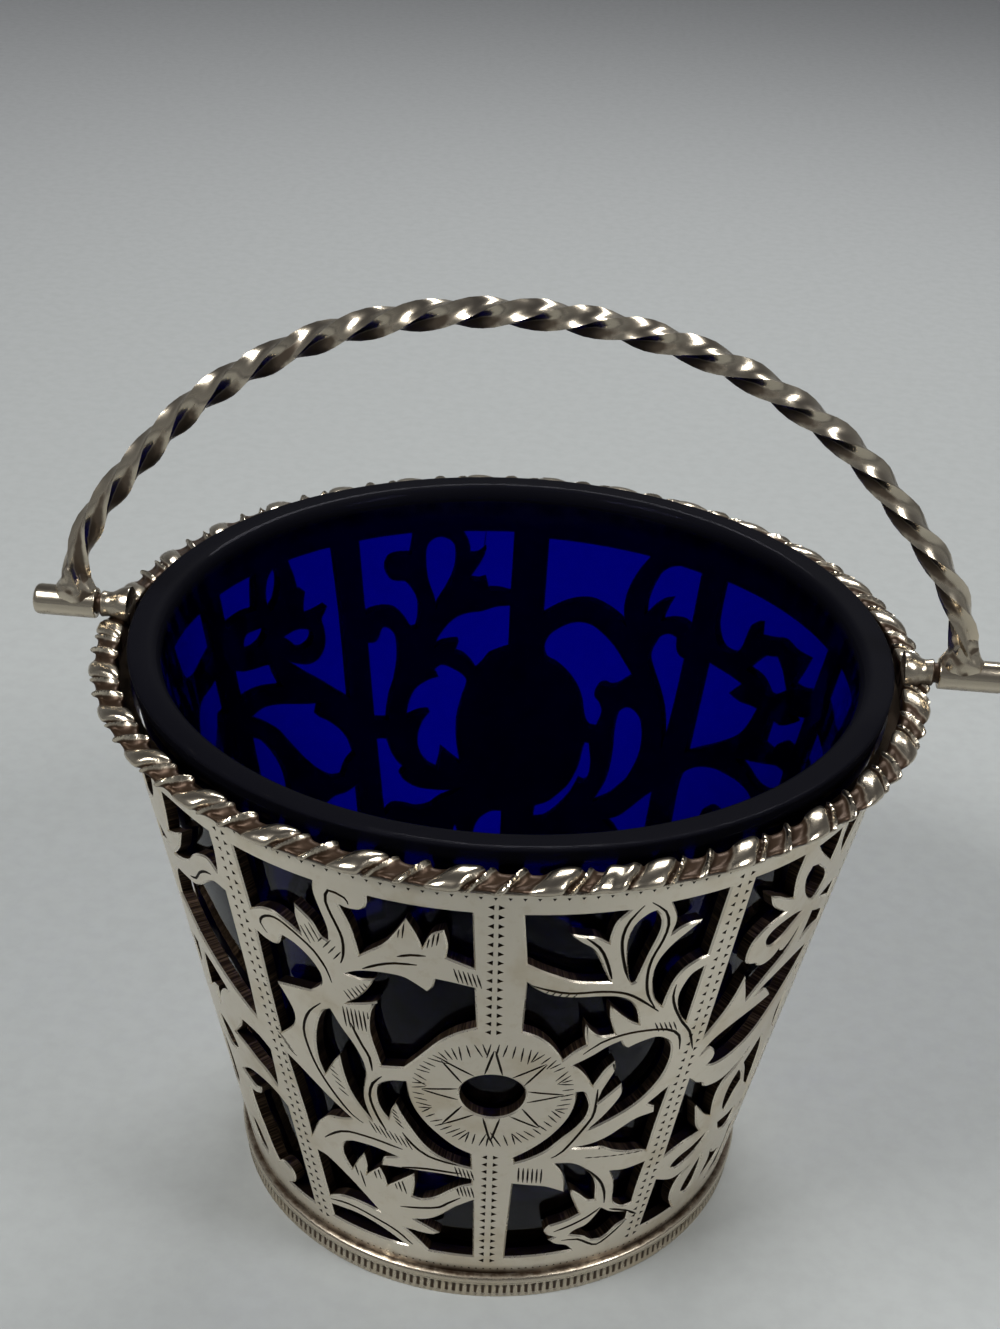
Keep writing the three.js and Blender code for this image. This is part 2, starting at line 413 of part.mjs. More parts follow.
// The same for the back half, which was sawn by eye: its angles run from the back towards +X
const backTearPanel = [
  [[-14.2, 54.4, 1], [-4.5, 54.4, 1], [-4.6, 50], [-4.7, 47.3, 1], [-7, 47.6], [-8.9, 47.6, 1],
    [-9.5, 48.9, 1], [-11, 48.7], [-13, 48.9, 1], [-11.5, 50.1], [-10.2, 51.4], [-9.6, 52.4, 1],
    [-11, 51.7], [-12.8, 51.6, 1], [-12.7, 52.6], [-13.3, 53.5]],
  [[-20.8, 53.1], [-18.5, 53.9], [-16, 53.2], [-15.3, 51.5], [-15.8, 49.5], [-17.2, 47.8], [-18.8, 46.4],
    [-19.6, 45.5, 1], [-19.7, 47], [-20.8, 49], [-21.2, 51.2]],
  [[-34.2, 54.6, 1], [-23.2, 54.6, 1], [-23.6, 53.2], [-24, 52.1, 1], [-26, 52.2], [-28, 52], [-29, 51],
    [-28.7, 49.9], [-27.3, 49.4], [-25.5, 49.2], [-24, 48], [-22.9, 46.5], [-22.9, 44.8], [-23.4, 43.6, 1],
    [-24.5, 43.6], [-25.4, 44.6], [-27.3, 45.9], [-29.5, 46.4], [-32, 46.4], [-34.1, 46.1, 1]],
  [[-34.1, 42.9, 1], [-32.6, 42.8], [-31.6, 43.3], [-31, 44.1], [-30, 44.3], [-28.6, 43.6], [-27.6, 42.3],
    [-27.6, 40], [-28.6, 37.6], [-29.8, 36], [-30.5, 34.4], [-30.8, 33.4, 1], [-34, 33.8, 1]],
  [[-4.7, 45.9, 1], [-7.5, 45.7], [-10.2, 45.2], [-13, 45], [-15.5, 44.5], [-17.6, 43.5], [-19.3, 42.2],
    [-20.2, 41, 1], [-18.5, 41.5], [-16.5, 41.7], [-14.9, 41.7, 1], [-15.8, 40.4, 1], [-14, 40],
    [-12.4, 39.2], [-11.2, 38.2, 1], [-9.9, 38.9], [-8.5, 39.9], [-6.6, 40.4], [-4.7, 40.8, 1]],
  [[-20.3, 38.5, 1], [-18.5, 39.1], [-16, 38.5], [-13.8, 37.6], [-13.1, 36.4], [-14.2, 34.5], [-15.2, 32.2],
    [-15.3, 29.5], [-14.6, 27, 1], [-16.6, 27.9], [-18.8, 29, 1], [-19.2, 27.8], [-19.9, 26.5, 1],
    [-21.8, 27.2], [-23.4, 28.4], [-24.3, 30], [-24, 31.5], [-22.8, 32.8], [-21.3, 33.6, 1], [-23.5, 33.6],
    [-26.8, 33.1, 1], [-26, 35], [-24.3, 36.6], [-21.6, 37.4], [-19.2, 37.7, 1]],
  [[-33.9, 31.5, 1], [-32.6, 31.4], [-31.3, 31.1], [-30.6, 29.9], [-29.6, 28.4], [-27.3, 27.2, 1],
    [-28.6, 26.4], [-27.4, 25.6], [-24.8, 24.7], [-21.4, 24.2], [-17.6, 23.9], [-14, 24.2, 1],
    [-16.2, 23.4], [-19.4, 22.8], [-21.8, 22.1], [-25, 22], [-28, 22.6], [-31, 22.9], [-33.4, 22, 1]],
  [[-4.6, 21.2, 1], [-7.2, 21.1], [-9.9, 20.2], [-11.4, 18.5], [-12, 16.6], [-13.6, 15.4, 1], [-14.4, 17.4],
    [-15.9, 19.6, 1], [-17, 17.6], [-17.3, 15.4], [-19.8, 14.6], [-21.4, 13.2, 1], [-18.6, 12.4],
    [-14.4, 11.9, 1], [-16, 10.6], [-19.4, 9.6, 1], [-15.6, 8.8], [-12.6, 7.4], [-11.4, 5.6, 1],
    [-4.4, 5.6, 1]],
  [[-33.6, 19.8, 1], [-30.2, 20.4], [-26.6, 20], [-23.8, 18.6], [-22.6, 16.6, 1], [-25, 15.8],
    [-26.8, 14.4, 1], [-29.2, 15], [-31.2, 16.4], [-33.5, 16.6, 1]],
  [[-33.2, 13.6, 1], [-30.6, 13], [-27.4, 12.4], [-24.6, 11], [-23.6, 9], [-25.6, 7.4], [-28.8, 7],
    [-31, 8.2], [-33, 8.4, 1]],
];
const backScrollPanel = [
  [[2, 53.9, 1], [21.7, 53.9, 1], [20, 52.2], [18.5, 50], [18, 48], [18.4, 46.4], [19.3, 45.3, 1],
    [17.3, 46.1], [14.5, 46.9], [11, 47.4], [7.5, 47], [4.5, 46.1], [2, 45.1, 1]],
  [[2.7, 41.2], [3.6, 42.8], [5.8, 43.9], [8.5, 44.7], [11.5, 44.8], [14.5, 44], [17.3, 42.8], [19.8, 41.3],
    [22.1, 40, 1], [20.5, 39.3], [18.8, 38.4], [17.3, 38], [15.8, 38.1], [14.5, 37.6], [14.4, 36.6],
    [15.6, 36, 1], [16.4, 35], [15.9, 33.8], [15.3, 32.7, 1], [13.6, 32.7], [12.4, 33.6], [11.4, 35.6],
    [9.8, 37.2], [7.6, 38.5], [5.3, 39.4], [3.3, 39.9]],
  [[22.5, 36.3], [25, 35.6], [26.3, 33.8], [26.5, 31.6], [25.6, 29.6], [24.2, 27.8], [22.3, 26.4], [20, 25],
    [17, 23.9, 1], [18.6, 25.6], [19.5, 27.6], [19.7, 30], [19.4, 32.5], [19.7, 34.8], [20.8, 35.8]],
  [[13.5, 30.9, 1], [12.9, 29.5], [12.4, 27.4], [11, 25.5], [8.8, 24.1], [6.4, 22.9], [3.4, 22.2, 1],
    [3.1, 20.4, 1], [5.4, 20.7], [7.7, 21.7], [10, 23.2], [11.5, 24.6], [12.6, 26.1, 1], [14.1, 26],
    [15.2, 26.9], [15.5, 28.5], [14.9, 30], [14.5, 30.9, 1]],
  [[22.3, 48.6], [23, 50.5], [24.2, 52.2], [26, 53.3], [28, 53.8, 1], [32.5, 53.8, 1], [32.6, 47.3, 1],
    [30.5, 47.8], [28, 47.6], [26, 47.1, 1], [26.5, 48.4], [27.4, 49.8, 1], [25.5, 49.3], [23.9, 48.4],
    [22.4, 47.2, 1]],
  [[32.5, 43.9, 1], [32.4, 40], [32.1, 36], [31.6, 32.6, 1], [31, 34.6], [29.8, 37], [28, 39], [25.8, 41],
    [24.6, 42.5], [25.2, 44], [26.4, 45.3], [28.2, 46], [30, 45.9, 1], [30.3, 44.8], [31.2, 44.1]],
  [[31.4, 27.6, 1], [28.9, 26.1], [26.6, 24.6], [24, 23.2], [20.2, 22.2, 1], [22.4, 21.7], [24.8, 20.6],
    [27.4, 19.6], [31.6, 19.2, 1]],
  [[2.4, 18.2, 1], [5.6, 18.5], [9.4, 18.1], [13.2, 17], [16.4, 15, 1], [17.2, 16.6], [18.6, 18, 1],
    [19.4, 16], [21.6, 14, 1], [17.6, 13.5], [13.4, 13.9], [9.2, 15.4], [5.6, 16.8]],
  [[2.6, 14.2, 1], [6.6, 13.2], [10.4, 11.8], [14.6, 11.2], [17.6, 11.4, 1], [15.2, 10], [11.6, 9.3],
    [7.8, 8.9, 1], [10.6, 7.9], [13.4, 6.6], [15, 5.6, 1], [2.2, 5.6, 1]],
  [[31.4, 16.6, 1], [28.6, 16.4], [25.8, 14.6], [22.6, 12.4], [19.4, 9.4, 1], [23.2, 9.6], [26.6, 8.4],
    [29, 6.6], [31.2, 6, 1]],
];
const backBowPanel = [
  [[-49.5, 54.6, 1], [-39.4, 54.6, 1], [-39.1, 46], [-39.3, 37, 1], [-42, 38.3], [-45, 39.8], [-48, 41.2],
    [-50.5, 42.5], [-53.5, 44, 1], [-51.3, 43.2], [-48, 42.5], [-45.3, 42.8], [-43.7, 44], [-43.4, 45.6],
    [-43.8, 47, 1], [-42.2, 48.2, 1], [-44.6, 47.9], [-47.7, 47.8, 1], [-47.4, 49.3], [-46.7, 50.6, 1],
    [-48.2, 51.1], [-48.6, 52.6]],
  [[-52.6, 54.3], [-51.9, 52.8], [-53, 51], [-54.3, 50.2], [-55.4, 49.9, 1], [-55.9, 51.1], [-55.4, 52.7],
    [-54.3, 53.8]],
  [[-67.6, 54.6, 1], [-57.2, 54.6, 1], [-58, 53], [-58.8, 50.8, 1], [-61.5, 51], [-65, 50.9],
    [-67.6, 50.8, 1]],
  [[-63.8, 48], [-62.5, 48.9], [-60, 48.8], [-57.6, 48.6], [-57, 47.8], [-58.5, 47.1], [-60.6, 46.9],
    [-62.8, 47.2]],
  [[-53.3, 46.6, 1], [-50, 46.8], [-47.4, 46.4], [-46, 45.6], [-46.7, 44.7], [-48.8, 44.4], [-50.5, 45],
    [-51.6, 45.8]],
  [[-67.6, 46, 1], [-65, 45.3], [-61.5, 44.8], [-58.5, 44.5], [-56.8, 43.9], [-56.3, 42.8],
    [-55.4, 41.3, 1], [-59, 41.9], [-62.5, 42.3], [-65.4, 42.4], [-67.6, 42.5, 1]],
  [[-65.8, 40.2, 1], [-62, 40.3], [-58, 39.8], [-54, 39], [-50, 38.2], [-46.3, 37.7, 1], [-47.4, 36.2, 1],
    [-45, 35.2], [-42.5, 33.8], [-40.3, 32], [-39.4, 30.3, 1], [-41.4, 29.5], [-43, 28.2, 1],
    [-45.5, 28.5], [-48.5, 29.8], [-51.5, 31.6], [-54, 33.4], [-56.3, 35.2], [-58.5, 37], [-61.5, 38.5]],
  [[-66.6, 38, 1], [-63.6, 36.8], [-61, 35], [-59, 32.9], [-58, 30.5], [-58.4, 27.5, 1], [-61.5, 28.4],
    [-64.6, 30.2], [-66.6, 32.5, 1]],
  [[-49, 26, 1], [-46, 26.4], [-43, 26.3], [-39.5, 26.8, 1], [-39.6, 19.4, 1], [-42.6, 19.8],
    [-45, 21.6, 1], [-45.4, 23.4], [-46.8, 25]],
  [[-55.4, 26.8, 1], [-54.4, 24], [-55, 21.4], [-57.6, 19.4], [-61.4, 18.8], [-64.6, 20], [-66.8, 22.4, 1],
    [-63.6, 23], [-60.6, 24], [-57.8, 25.6]],
  [[-39.8, 17, 1], [-43.4, 17.4], [-46.8, 16.4], [-49.4, 14.2], [-50.2, 11.6, 1], [-47.4, 11.8],
    [-44.6, 10.8, 1], [-43.8, 12.4], [-41.8, 13.4], [-40, 13.6, 1]],
  [[-52.8, 15.8], [-55.6, 16.2], [-58.6, 15.8], [-60.2, 14.4], [-58.8, 12.8], [-55.8, 12.6],
    [-53.2, 13.8]],
  [[-40.2, 8.6, 1], [-44.4, 8.4], [-49, 9], [-53.6, 10], [-57.8, 9.8], [-61.8, 8.4], [-64.8, 6.4, 1],
    [-40.4, 5.6, 1]],
];
const backFlowerPanel = [
  [[37.4, 54, 1], [68.2, 54.2, 1], [68, 49.5, 1], [65.8, 48.7], [63, 48], [60.3, 47.7, 1], [61.3, 49.2],
    [62.3, 51.2, 1], [59.5, 50.9], [57, 50.8], [54, 51], [51, 50.4], [48, 49.9, 1], [47.4, 51.3, 1],
    [46, 50.9], [45.5, 49.8], [45.1, 48.3], [44, 47.1], [42, 46.6], [39.7, 46.9], [38, 48.3], [37.5, 50]],
  [[54.4, 49.4, 1], [56.8, 48.5], [58.4, 47.6], [59.7, 46.9, 1], [57.6, 46], [56.2, 45.2], [54.4, 44.9],
    [52.8, 45.4], [50.8, 45.9], [47.4, 46, 1], [49, 47.2], [51.2, 48.6], [53, 49]],
  [[37.5, 44.8, 1], [40, 44.6], [43.5, 44.5], [47.3, 44.3, 1], [46.2, 43.6], [44.8, 42.6, 1], [48, 42.4],
    [50.6, 42.7], [53, 42.9, 1], [52, 41], [50.4, 39.3], [47.6, 37.7], [44.2, 36.2], [41, 35],
    [37.5, 33.7, 1]],
  [[57.2, 43.2, 1], [60, 43.1], [62.3, 43.6], [64.8, 44.6, 1], [62.6, 45.1], [65.6, 45.7], [68.2, 46.3, 1],
    [68.2, 42.6, 1], [66.4, 42.1], [63.6, 41.9], [62, 41.2], [61.5, 39.8, 1], [57, 39.8, 1], [57, 41.4]],
  [[67.2, 39.6, 1], [64, 39.3], [60, 38.3], [56, 37.4], [53.2, 36.9], [51, 36.4, 1], [54.4, 35.9],
    [58, 35.4], [61.6, 35.6], [65, 36.6], [67.6, 37.6, 1]],
  [[37, 30], [39, 31.8], [42, 33], [46, 33.8], [50, 34.1], [54, 34.3], [58, 34.1],
    [61.4, 33.2, 1], [59.4, 31.6], [56.8, 29.8], [54.8, 27.6, 1], [52.6, 28.8], [50, 29.4], [47.5, 29.4, 1],
    [46, 28.8], [45.2, 27.2], [43, 25.6], [40, 25.3], [37.2, 24.2, 1]],
  [[67.2, 34.4, 1], [67.4, 25.6, 1], [64.2, 24.8], [61.2, 22.8, 1], [61, 25.4], [59.6, 27.4, 1],
    [62.8, 28.8], [65.6, 31.2]],
  [[37.4, 21.6, 1], [40.6, 22.4], [44.2, 22.2], [47.6, 20.6], [49.6, 18, 1], [46.4, 18.2], [43.8, 17],
    [42, 14.8, 1], [40.2, 15.8], [37.8, 16, 1]],
  [[52.6, 22.6], [55, 23.6], [57.2, 22.4], [57.8, 20], [56.6, 17.6], [54, 17], [52, 18.6], [51.6, 20.8]],
  [[66.8, 21.4, 1], [63.6, 20.6], [61.2, 18.4], [60.2, 15.6], [61.4, 13, 1], [63.4, 14], [66.4, 14.2, 1]],
  [[38, 12.6, 1], [41.2, 12.2], [44.8, 13.4], [48.2, 14.8], [51.8, 14.8], [55.4, 13.4], [57.8, 11, 1],
    [54.6, 10.6], [52.2, 9], [50.8, 6.6, 1], [48, 8.6], [44.6, 9.4], [41, 8.8], [38.4, 7, 1]],
  [[65.8, 11, 1], [61.8, 10.2], [58.4, 8.4], [56, 5.8, 1], [65.4, 5.8, 1]],
];
const mirrored = (outline) => outline.map(([angle, height, ...corner]) => [180 - angle, height, ...corner]);
const toOtherSide = (outline) => outline.map(([angle, height, ...corner]) => [-angle, height, ...corner]);
const windows = [
  ...leafPanel,
  ...flamePanel,
  ...ribbonPanel,
  ...bowPanel,
  ...sidePanel,
  ...sidePanel.map(toOtherSide),
];
const backWindows = [
  ...backBowPanel,
  ...backTearPanel,
  ...backScrollPanel,
  ...backFlowerPanel,
  ...sidePanel,
  ...sidePanel.map(toOtherSide),
];

// The hole in the middle of the front medallion: [angle, height] and its radius
const medallionPlace = [4.6, 30.7];
const medallionHole = 3;
const medallionSides = 16;

// Leaves out the points of a smooth edge that lie nearly on the line between their neighbours
function thinned(outline) {
  const flat = outline.map(([angle, height]) => {
    const across = angle * degree * wallRadius(height);
    return new THREE.Vector2(across, height);
  });
  const kept = [];
  outline.forEach((point, i) => {
    const before = flat[kept.length ? kept[kept.length - 1] : flat.length - 1];
    const ahead = flat[(i + 1) % flat.length].clone().sub(before);
    const here = flat[i].clone().sub(before);
    const off = Math.abs(ahead.cross(here)) / ahead.length();
    if (point.length > 2 || off > edgeTolerance) kept.push(i);
  });
  return kept.map((i) => outline[i]);
}

// A window's outline as a block that stands straight through the sheet
function windowBlock(outline) {
  const points = outline.map(([angle, height]) => new THREE.Vector2(angle, height));
  if (THREE.ShapeUtils.isClockWise(points)) points.reverse();
  const count = points.length;
  const middle = points.reduce((sum, point) => sum + point.x / count, 0);
  const positions = [];
  for (const reach of [-sheetThickness - cutReach, cutReach]) {
    const shift = onWall(middle, 0, reach);
    for (const { x, y } of points) positions.push(...onWall(x, y, wallRadius(y)).add(shift).toArray());
  }
  const index = [];
  for (const [a, b, c] of THREE.ShapeUtils.triangulateShape(points, [])) {
    index.push(a, b, c, count + a, count + c, count + b);
  }
  for (let i = 0; i < count; i += 1) {
    const j = (i + 1) % count;
    index.push(i, count + i, count + j, i, count + j, j);
  }
  const geometry = new THREE.BufferGeometry();
  geometry.setAttribute('position', new THREE.Float32BufferAttribute(positions, 3));
  geometry.setIndex(index);
  return toSolid(geometry);
}

function medallionOutline() {
  const [angle, height] = medallionPlace;
  const outline = [];
  for (let i = 0; i < medallionSides; i += 1) {
    const round = (i / medallionSides) * 2 * Math.PI;
    const across = (medallionHole * Math.cos(round)) / wallRadius(height) / degree;
    outline.push([angle + across, height + medallionHole * Math.sin(round)]);
  }
  return outline;
}

function piercedWall() {
  let wall = toSolid(turned([
    [wallFootRadius, footHeight],
    [wallTopRadius, wallTopHeight],
    [wallTopRadius - sheetThickness, wallTopHeight],
    [wallFootRadius - sheetThickness, footHeight],
  ]));
  for (const outline of windows) wall = wall.subtract(windowBlock(thinned(outline)));
  for (const outline of backWindows) wall = wall.subtract(windowBlock(thinned(mirrored(outline))));
  wall = wall.subtract(windowBlock(medallionOutline()));
  return withoutStrayPoints(toGeometry(wall));
}

// Gadrooned rim: slanting lobes round a ring that hooks over the wall's top edge
const rimSeat = wallTopRadius + seatGap;
const rimUnderside = wallTopHeight + seatGap;
const rimBottom = rimCrest - rimHeight;
const rimCrestRadius = (rimInnerRadius + rimRadius) / 2;
const rimSection = [
  { radius: rimInnerRadius, height: rimUnderside, lobed: 0 },
  { radius: rimInnerRadius, height: rimCrest - rimLip, lobed: 0.4 },
  { radius: rimCrestRadius, height: rimCrest, lobed: 1 },
  { radius: rimRadius - rimShoulder, height: rimCrest - rimShoulderDrop, lobed: 1 },
  { radius: rimRadius, height: rimCrest - rimEdgeDrop, lobed: 1 },
  { radius: rimRadius - rimTuck, height: rimCrest - rimTuckDrop, lobed: 0.7 },
  { radius: rimSeat, height: rimBottom, lobed: 0 },
  { radius: rimSeat, height: rimUnderside, lobed: 0 },
];

// One gadroon's outline round the rim, [share of its width, share of its height]: a thin ridge,
// a valley, a wide lobe, a second thin ridge and a scoop
const gadroonShape = [
  [0, 0.95],
  [0.06, 0.05],
  [0.17, 0.05],
  [0.3, 0.85],
  [0.53, 1],
  [0.63, 0.1],
  [0.69, 0.85],
  [0.84, 0.3],
];

function gadroonRim() {
  const rows = [];
  const middleHeight = rimCrest - rimHeight / 2;
  for (let i = 0; i < gadroonCount; i += 1) {
    for (const [share, rise] of gadroonShape) {
      rows.push(rimSection.map(({ radius, height, lobed }) => {
        const away = new THREE.Vector2(radius - rimCrestRadius, height - middleHeight);
        const slant = (lobed * gadroonSlant * Math.atan2(away.y, away.x)) / (90 * degree);
        away.normalize();
        const sink = (1 - rise) * lobed * gadroonDepth;
        const angle = gadroonStart + ((i + share) * 360) / gadroonCount + slant;
        return onWall(angle, height - sink * away.y, radius - sink * away.x);
      }));
    }
  }
  return skin(rows, true);
}

// Foot bead, a half-round moulding under the wall
function footBead() {
  const middle = milledBandHeight + beadHeight / 2;
  const outer = [];
  for (let i = 0; i <= 4; i += 1) {
    const round = (i / 4 - 0.5) * Math.PI;
    outer.push([wallFootRadius + beadProud * Math.cos(round), middle + (beadHeight / 2) * Math.sin(round)]);
  }
  return turned([...outer, [beadInnerRadius, footHeight], [beadInnerRadius, milledBandHeight]]);
}

// Milled band that the basket stands on; its inner edge carries the base plate
function milledFootBand() {
  return turned([
    [footInnerRadius, 0],
    [footBottomRadius, 0],
    [footBottomRadius, milledBandHeight],
    [footInnerRadius, milledBandHeight],
  ]);
}

function basePlate() {
  return turned([
    [0, milledBandHeight],
    [beadInnerRadius - seatGap, milledBandHeight],
    [beadInnerRadius - seatGap, baseTop],
    [0, baseTop],
  ]);
}

// Cobalt glass liner, a thick tumbler whose ground rim stands above the gadroons
function glassLiner() {
  const floorTop = linerBottom + linerFloor;
  const round = 2 * linerEdge;
  return turned([
    [0, linerBottom],
    [linerRadius(linerBottom) - round, linerBottom],
    [linerRadius(linerBottom + round), linerBottom + round],
    [linerRadius(linerTop), linerTop],
    [linerRadius(linerTop) - linerWall + linerEdge, linerTop],
    [linerRadius(linerTop) - linerWall, linerTop - linerEdge],
    [linerRadius(floorTop + linerFloor) - linerWall, floorTop + linerFloor],
    [linerRadius(floorTop) - linerWall - linerFloor / 2, floorTop + linerFloor / 4],
    [0, floorTop],
  ]);
}

// Pivot lug: a trumpet-shaped neck seated over the gadroons, a collar and the pin, in one piece
function pivotLug() {
  const rimEnvelope = toSolid(turned([
    [rimInnerRadius - seatGap, rimBottom - seatGap],
    [rimInnerRadius - seatGap, rimCrest - rimLip + seatGap],
    [rimCrestRadius, rimCrest + seatGap],
    [rimRadius - rimShoulder + seatGap, rimCrest - rimShoulderDrop + seatGap],
    [rimRadius + seatGap, rimCrest - rimEdgeDrop],
    [rimRadius + seatGap, rimBottom - seatGap],
  ], 2 * roundSides));
  const pinEnd = sleeveEnd - sleeveEndWall - seatGap;
  const body = toSolid(turnedAboutX([
    [rimInnerRadius + seatGap, 0],
    [rimInnerRadius + seatGap, neckRadius + neckSpread],
    [rimCrestRadius, neckRadius + neckSpread],
    [rimCrestRadius + neckRoot, neckRadius],
    [collarStart, collarRadius],
    [collarEnd, collarRadius],
    [collarEnd, pinRadius],
    [pinEnd, pinRadius],
    [pinEnd, 0],
  ]).translate(0, 0, pivotHeight));
  return toGeometry(body.subtract(rimEnvelope));
}

// Sleeve: a socket with a rounded, closed outer end that turns on the pin
function pivotSleeve() {
  const bore = (pinRadius + pinGap) / Math.cos(Math.PI / smallSides);
  const boreEnd = sleeveEnd - sleeveEndWall;
  return turnedAboutX([
    [boreEnd, 0],
    [boreEnd, bore],
    [sleeveStart, bore],
    [sleeveStart, sleeveRadius],
    [sleeveEnd - sleeveEdge, sleeveRadius],
    [sleeveEnd, sleeveRadius - sleeveEdge],
    [sleeveEnd, 0],
  ]).translate(0, 0, pivotHeight);
}

// Bail: a square bar twisted along an arch, its feet flared over the sleeves they are soldered to
const bailFoot = (sleeveStart + sleeveEnd) / 2 - footStandIn;
const bailArch = [
  [1, 0.03],
  [0.985, 0.17],
  [0.934, 0.31],
  [0.826, 0.496],
  [0.686, 0.69],
  [0.444, 0.884],
  [0.22, 0.973],
];

function bailCurve() {
  const half = bailArch.map(([across, rise]) => {
    const height = pivotHeight + rise * bailRise;
    return new THREE.Vector3(across * bailFoot, 0, height);
  });
  const top = new THREE.Vector3(0, 0, pivotHeight + bailRise);
  const other = half.map((point) => new THREE.Vector3(-point.x, 0, point.z)).reverse();
  return new THREE.CatmullRomCurve3([...half, top, ...other], false, 'centripetal');
}

function twistedBail() {
  const curve = bailCurve();
  const rows = [];
  const side = new THREE.Vector3(0, 1, 0);
  for (let i = 0; i <= bailSteps; i += 1) {
    const share = i / bailSteps;
    const middle = curve.getPointAt(share);
    const across = curve.getTangentAt(share).cross(side);
    const turn = (bailTurnStart + share * bailTurns * 360) * degree;
    rows.push([0, 1, 2, 3].map((corner) => {
      const round = turn + corner * Math.PI / 2;
      return middle.clone()
        .addScaledVector(across, (bailDiagonal / 2) * Math.cos(round))
        .addScaledVector(side, (bailDiagonal / 2) * Math.sin(round));
    }));
  }
  let bail = toSolid(skin(rows, false));
  const foot = toSolid(turned([
    [0, 0],
    [footRadius, 0],
    [footRadius, sleeveRadius * 0.9],
    [bailDiagonal * 0.47, sleeveRadius + footRise / 3],
    [bailDiagonal * 0.4, sleeveRadius + footRise],
    [0, sleeveRadius + footRise],
  ], smallSides).translate(0, 0, pivotHeight));
  for (const end of [-1, 1]) bail = bail.add(foot.translate(end * bailFoot, 0, 0));
  const room = turnedAboutX([
    [-2 * sleeveEnd, 0],
    [-2 * sleeveEnd, sleeveRadius + footGap],
    [2 * sleeveEnd, sleeveRadius + footGap],
    [2 * sleeveEnd, 0],
  ], 2 * smallSides).translate(0, 0, pivotHeight);
  return toGeometry(bail.subtract(toSolid(room)));
}

// Assembly
const basket = new THREE.Group();
const piece = (name, geometry, material, about = 0) => {
  const mesh = new THREE.Mesh(geometry, material);
  mesh.name = name;
  mesh.rotation.z = about;
  return mesh;
};

const body = new THREE.Group();
body.add(piece('pierced_wall', piercedWall(), worn));
body.add(piece('gadroon_rim', gadroonRim(), cast));
body.add(piece('foot_bead', footBead(), polished));
body.add(piece('milled_foot_band', milledFootBand(), worn));
body.add(piece('base_plate', basePlate(), worn));
body.add(piece('right_lug', pivotLug(), cast));
body.add(piece('left_lug', pivotLug(), cast, Math.PI));

const liner = new THREE.Group();
liner.add(piece('glass_liner', glassLiner(), cobalt));

const handle = new THREE.Group();
handle.add(piece('twisted_bail', twistedBail(), polished));
handle.add(piece('right_sleeve', pivotSleeve(), polished));
handle.add(piece('left_sleeve', pivotSleeve(), polished, Math.PI));

basket.add(body, liner, handle);

export default basket;
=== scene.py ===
import bpy
from math import atan2, cos, degrees, floor, hypot, pi, radians, sin, sqrt, tau
from mathutils import Matrix, Vector, noise
from mathutils.geometry import tessellate_polygon


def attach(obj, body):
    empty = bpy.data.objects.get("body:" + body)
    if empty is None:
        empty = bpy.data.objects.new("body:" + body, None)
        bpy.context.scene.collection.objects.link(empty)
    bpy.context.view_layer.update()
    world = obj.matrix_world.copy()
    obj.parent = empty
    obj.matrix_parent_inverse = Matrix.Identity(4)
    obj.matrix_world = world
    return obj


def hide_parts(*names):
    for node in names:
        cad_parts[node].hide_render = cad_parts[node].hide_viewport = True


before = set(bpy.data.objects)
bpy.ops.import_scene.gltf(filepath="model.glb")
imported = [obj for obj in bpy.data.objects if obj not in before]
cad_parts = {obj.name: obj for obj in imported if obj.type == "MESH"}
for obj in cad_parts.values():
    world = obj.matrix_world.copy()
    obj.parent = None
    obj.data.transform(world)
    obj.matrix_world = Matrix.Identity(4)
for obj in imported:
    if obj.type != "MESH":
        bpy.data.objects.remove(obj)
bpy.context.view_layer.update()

# Sugar basket: pierced silver pail, gadroon border, cobalt glass liner, twisted swing handle.
# Places are written in millimetres, angles round the pail in degrees from the front towards +X.
mm = 0.001


def clearSelection():
    if bpy.context.mode != 'OBJECT':
        bpy.ops.object.mode_set(mode='OBJECT')
    bpy.ops.object.select_all(action='DESELECT')


def pick(piece):
    clearSelection()
    piece.select_set(True)
    bpy.context.view_layer.objects.active = piece
    return piece


def added(name, operator, **settings):  # a primitive, under its name, with its place in its mesh
    clearSelection()
    operator(**settings)
    piece = bpy.context.active_object
    piece.name = name
    piece.data.name = name
    bpy.ops.object.transform_apply(location=True, rotation=True, scale=True)
    return piece


def editMesh(piece, everything=True):
    pick(piece)
    bpy.ops.object.mode_set(mode='EDIT')
    bpy.ops.mesh.select_all(action='SELECT' if everything else 'DESELECT')


def applied(piece, kind, **settings):  # one modifier, applied at once
    pick(piece)
    modifier = piece.modifiers.new(kind.title(), kind)
    for name, value in settings.items():
        setattr(modifier, name, value)
    bpy.ops.object.modifier_apply(modifier=modifier.name)


def shadeByAngle(piece, angle):
    pick(piece)
    bpy.ops.object.shade_smooth_by_angle(angle=radians(angle))


def moveEach(piece, place):  # every vertex goes where place(x, y, z) says, all in millimetres
    for vertex in piece.data.vertices:
        vertex.co = Vector(place(*(vertex.co / mm))) * mm
    piece.data.update()


def setTarnishAndShade(piece, darkenings):  # how much each vertex is darkened: tarnishing in recesses, and on some pieces painted shade on undersides and in crevices
    layer = piece.data.attributes.new('recess', 'FLOAT', 'POINT')
    layer.data.foreach_set('value', darkenings)


def tidyShell(piece):
    editMesh(piece)
    bpy.ops.mesh.remove_doubles(threshold=0.002 * mm)
    bpy.ops.mesh.normals_make_consistent(inside=False)
    bpy.ops.object.mode_set(mode='OBJECT')


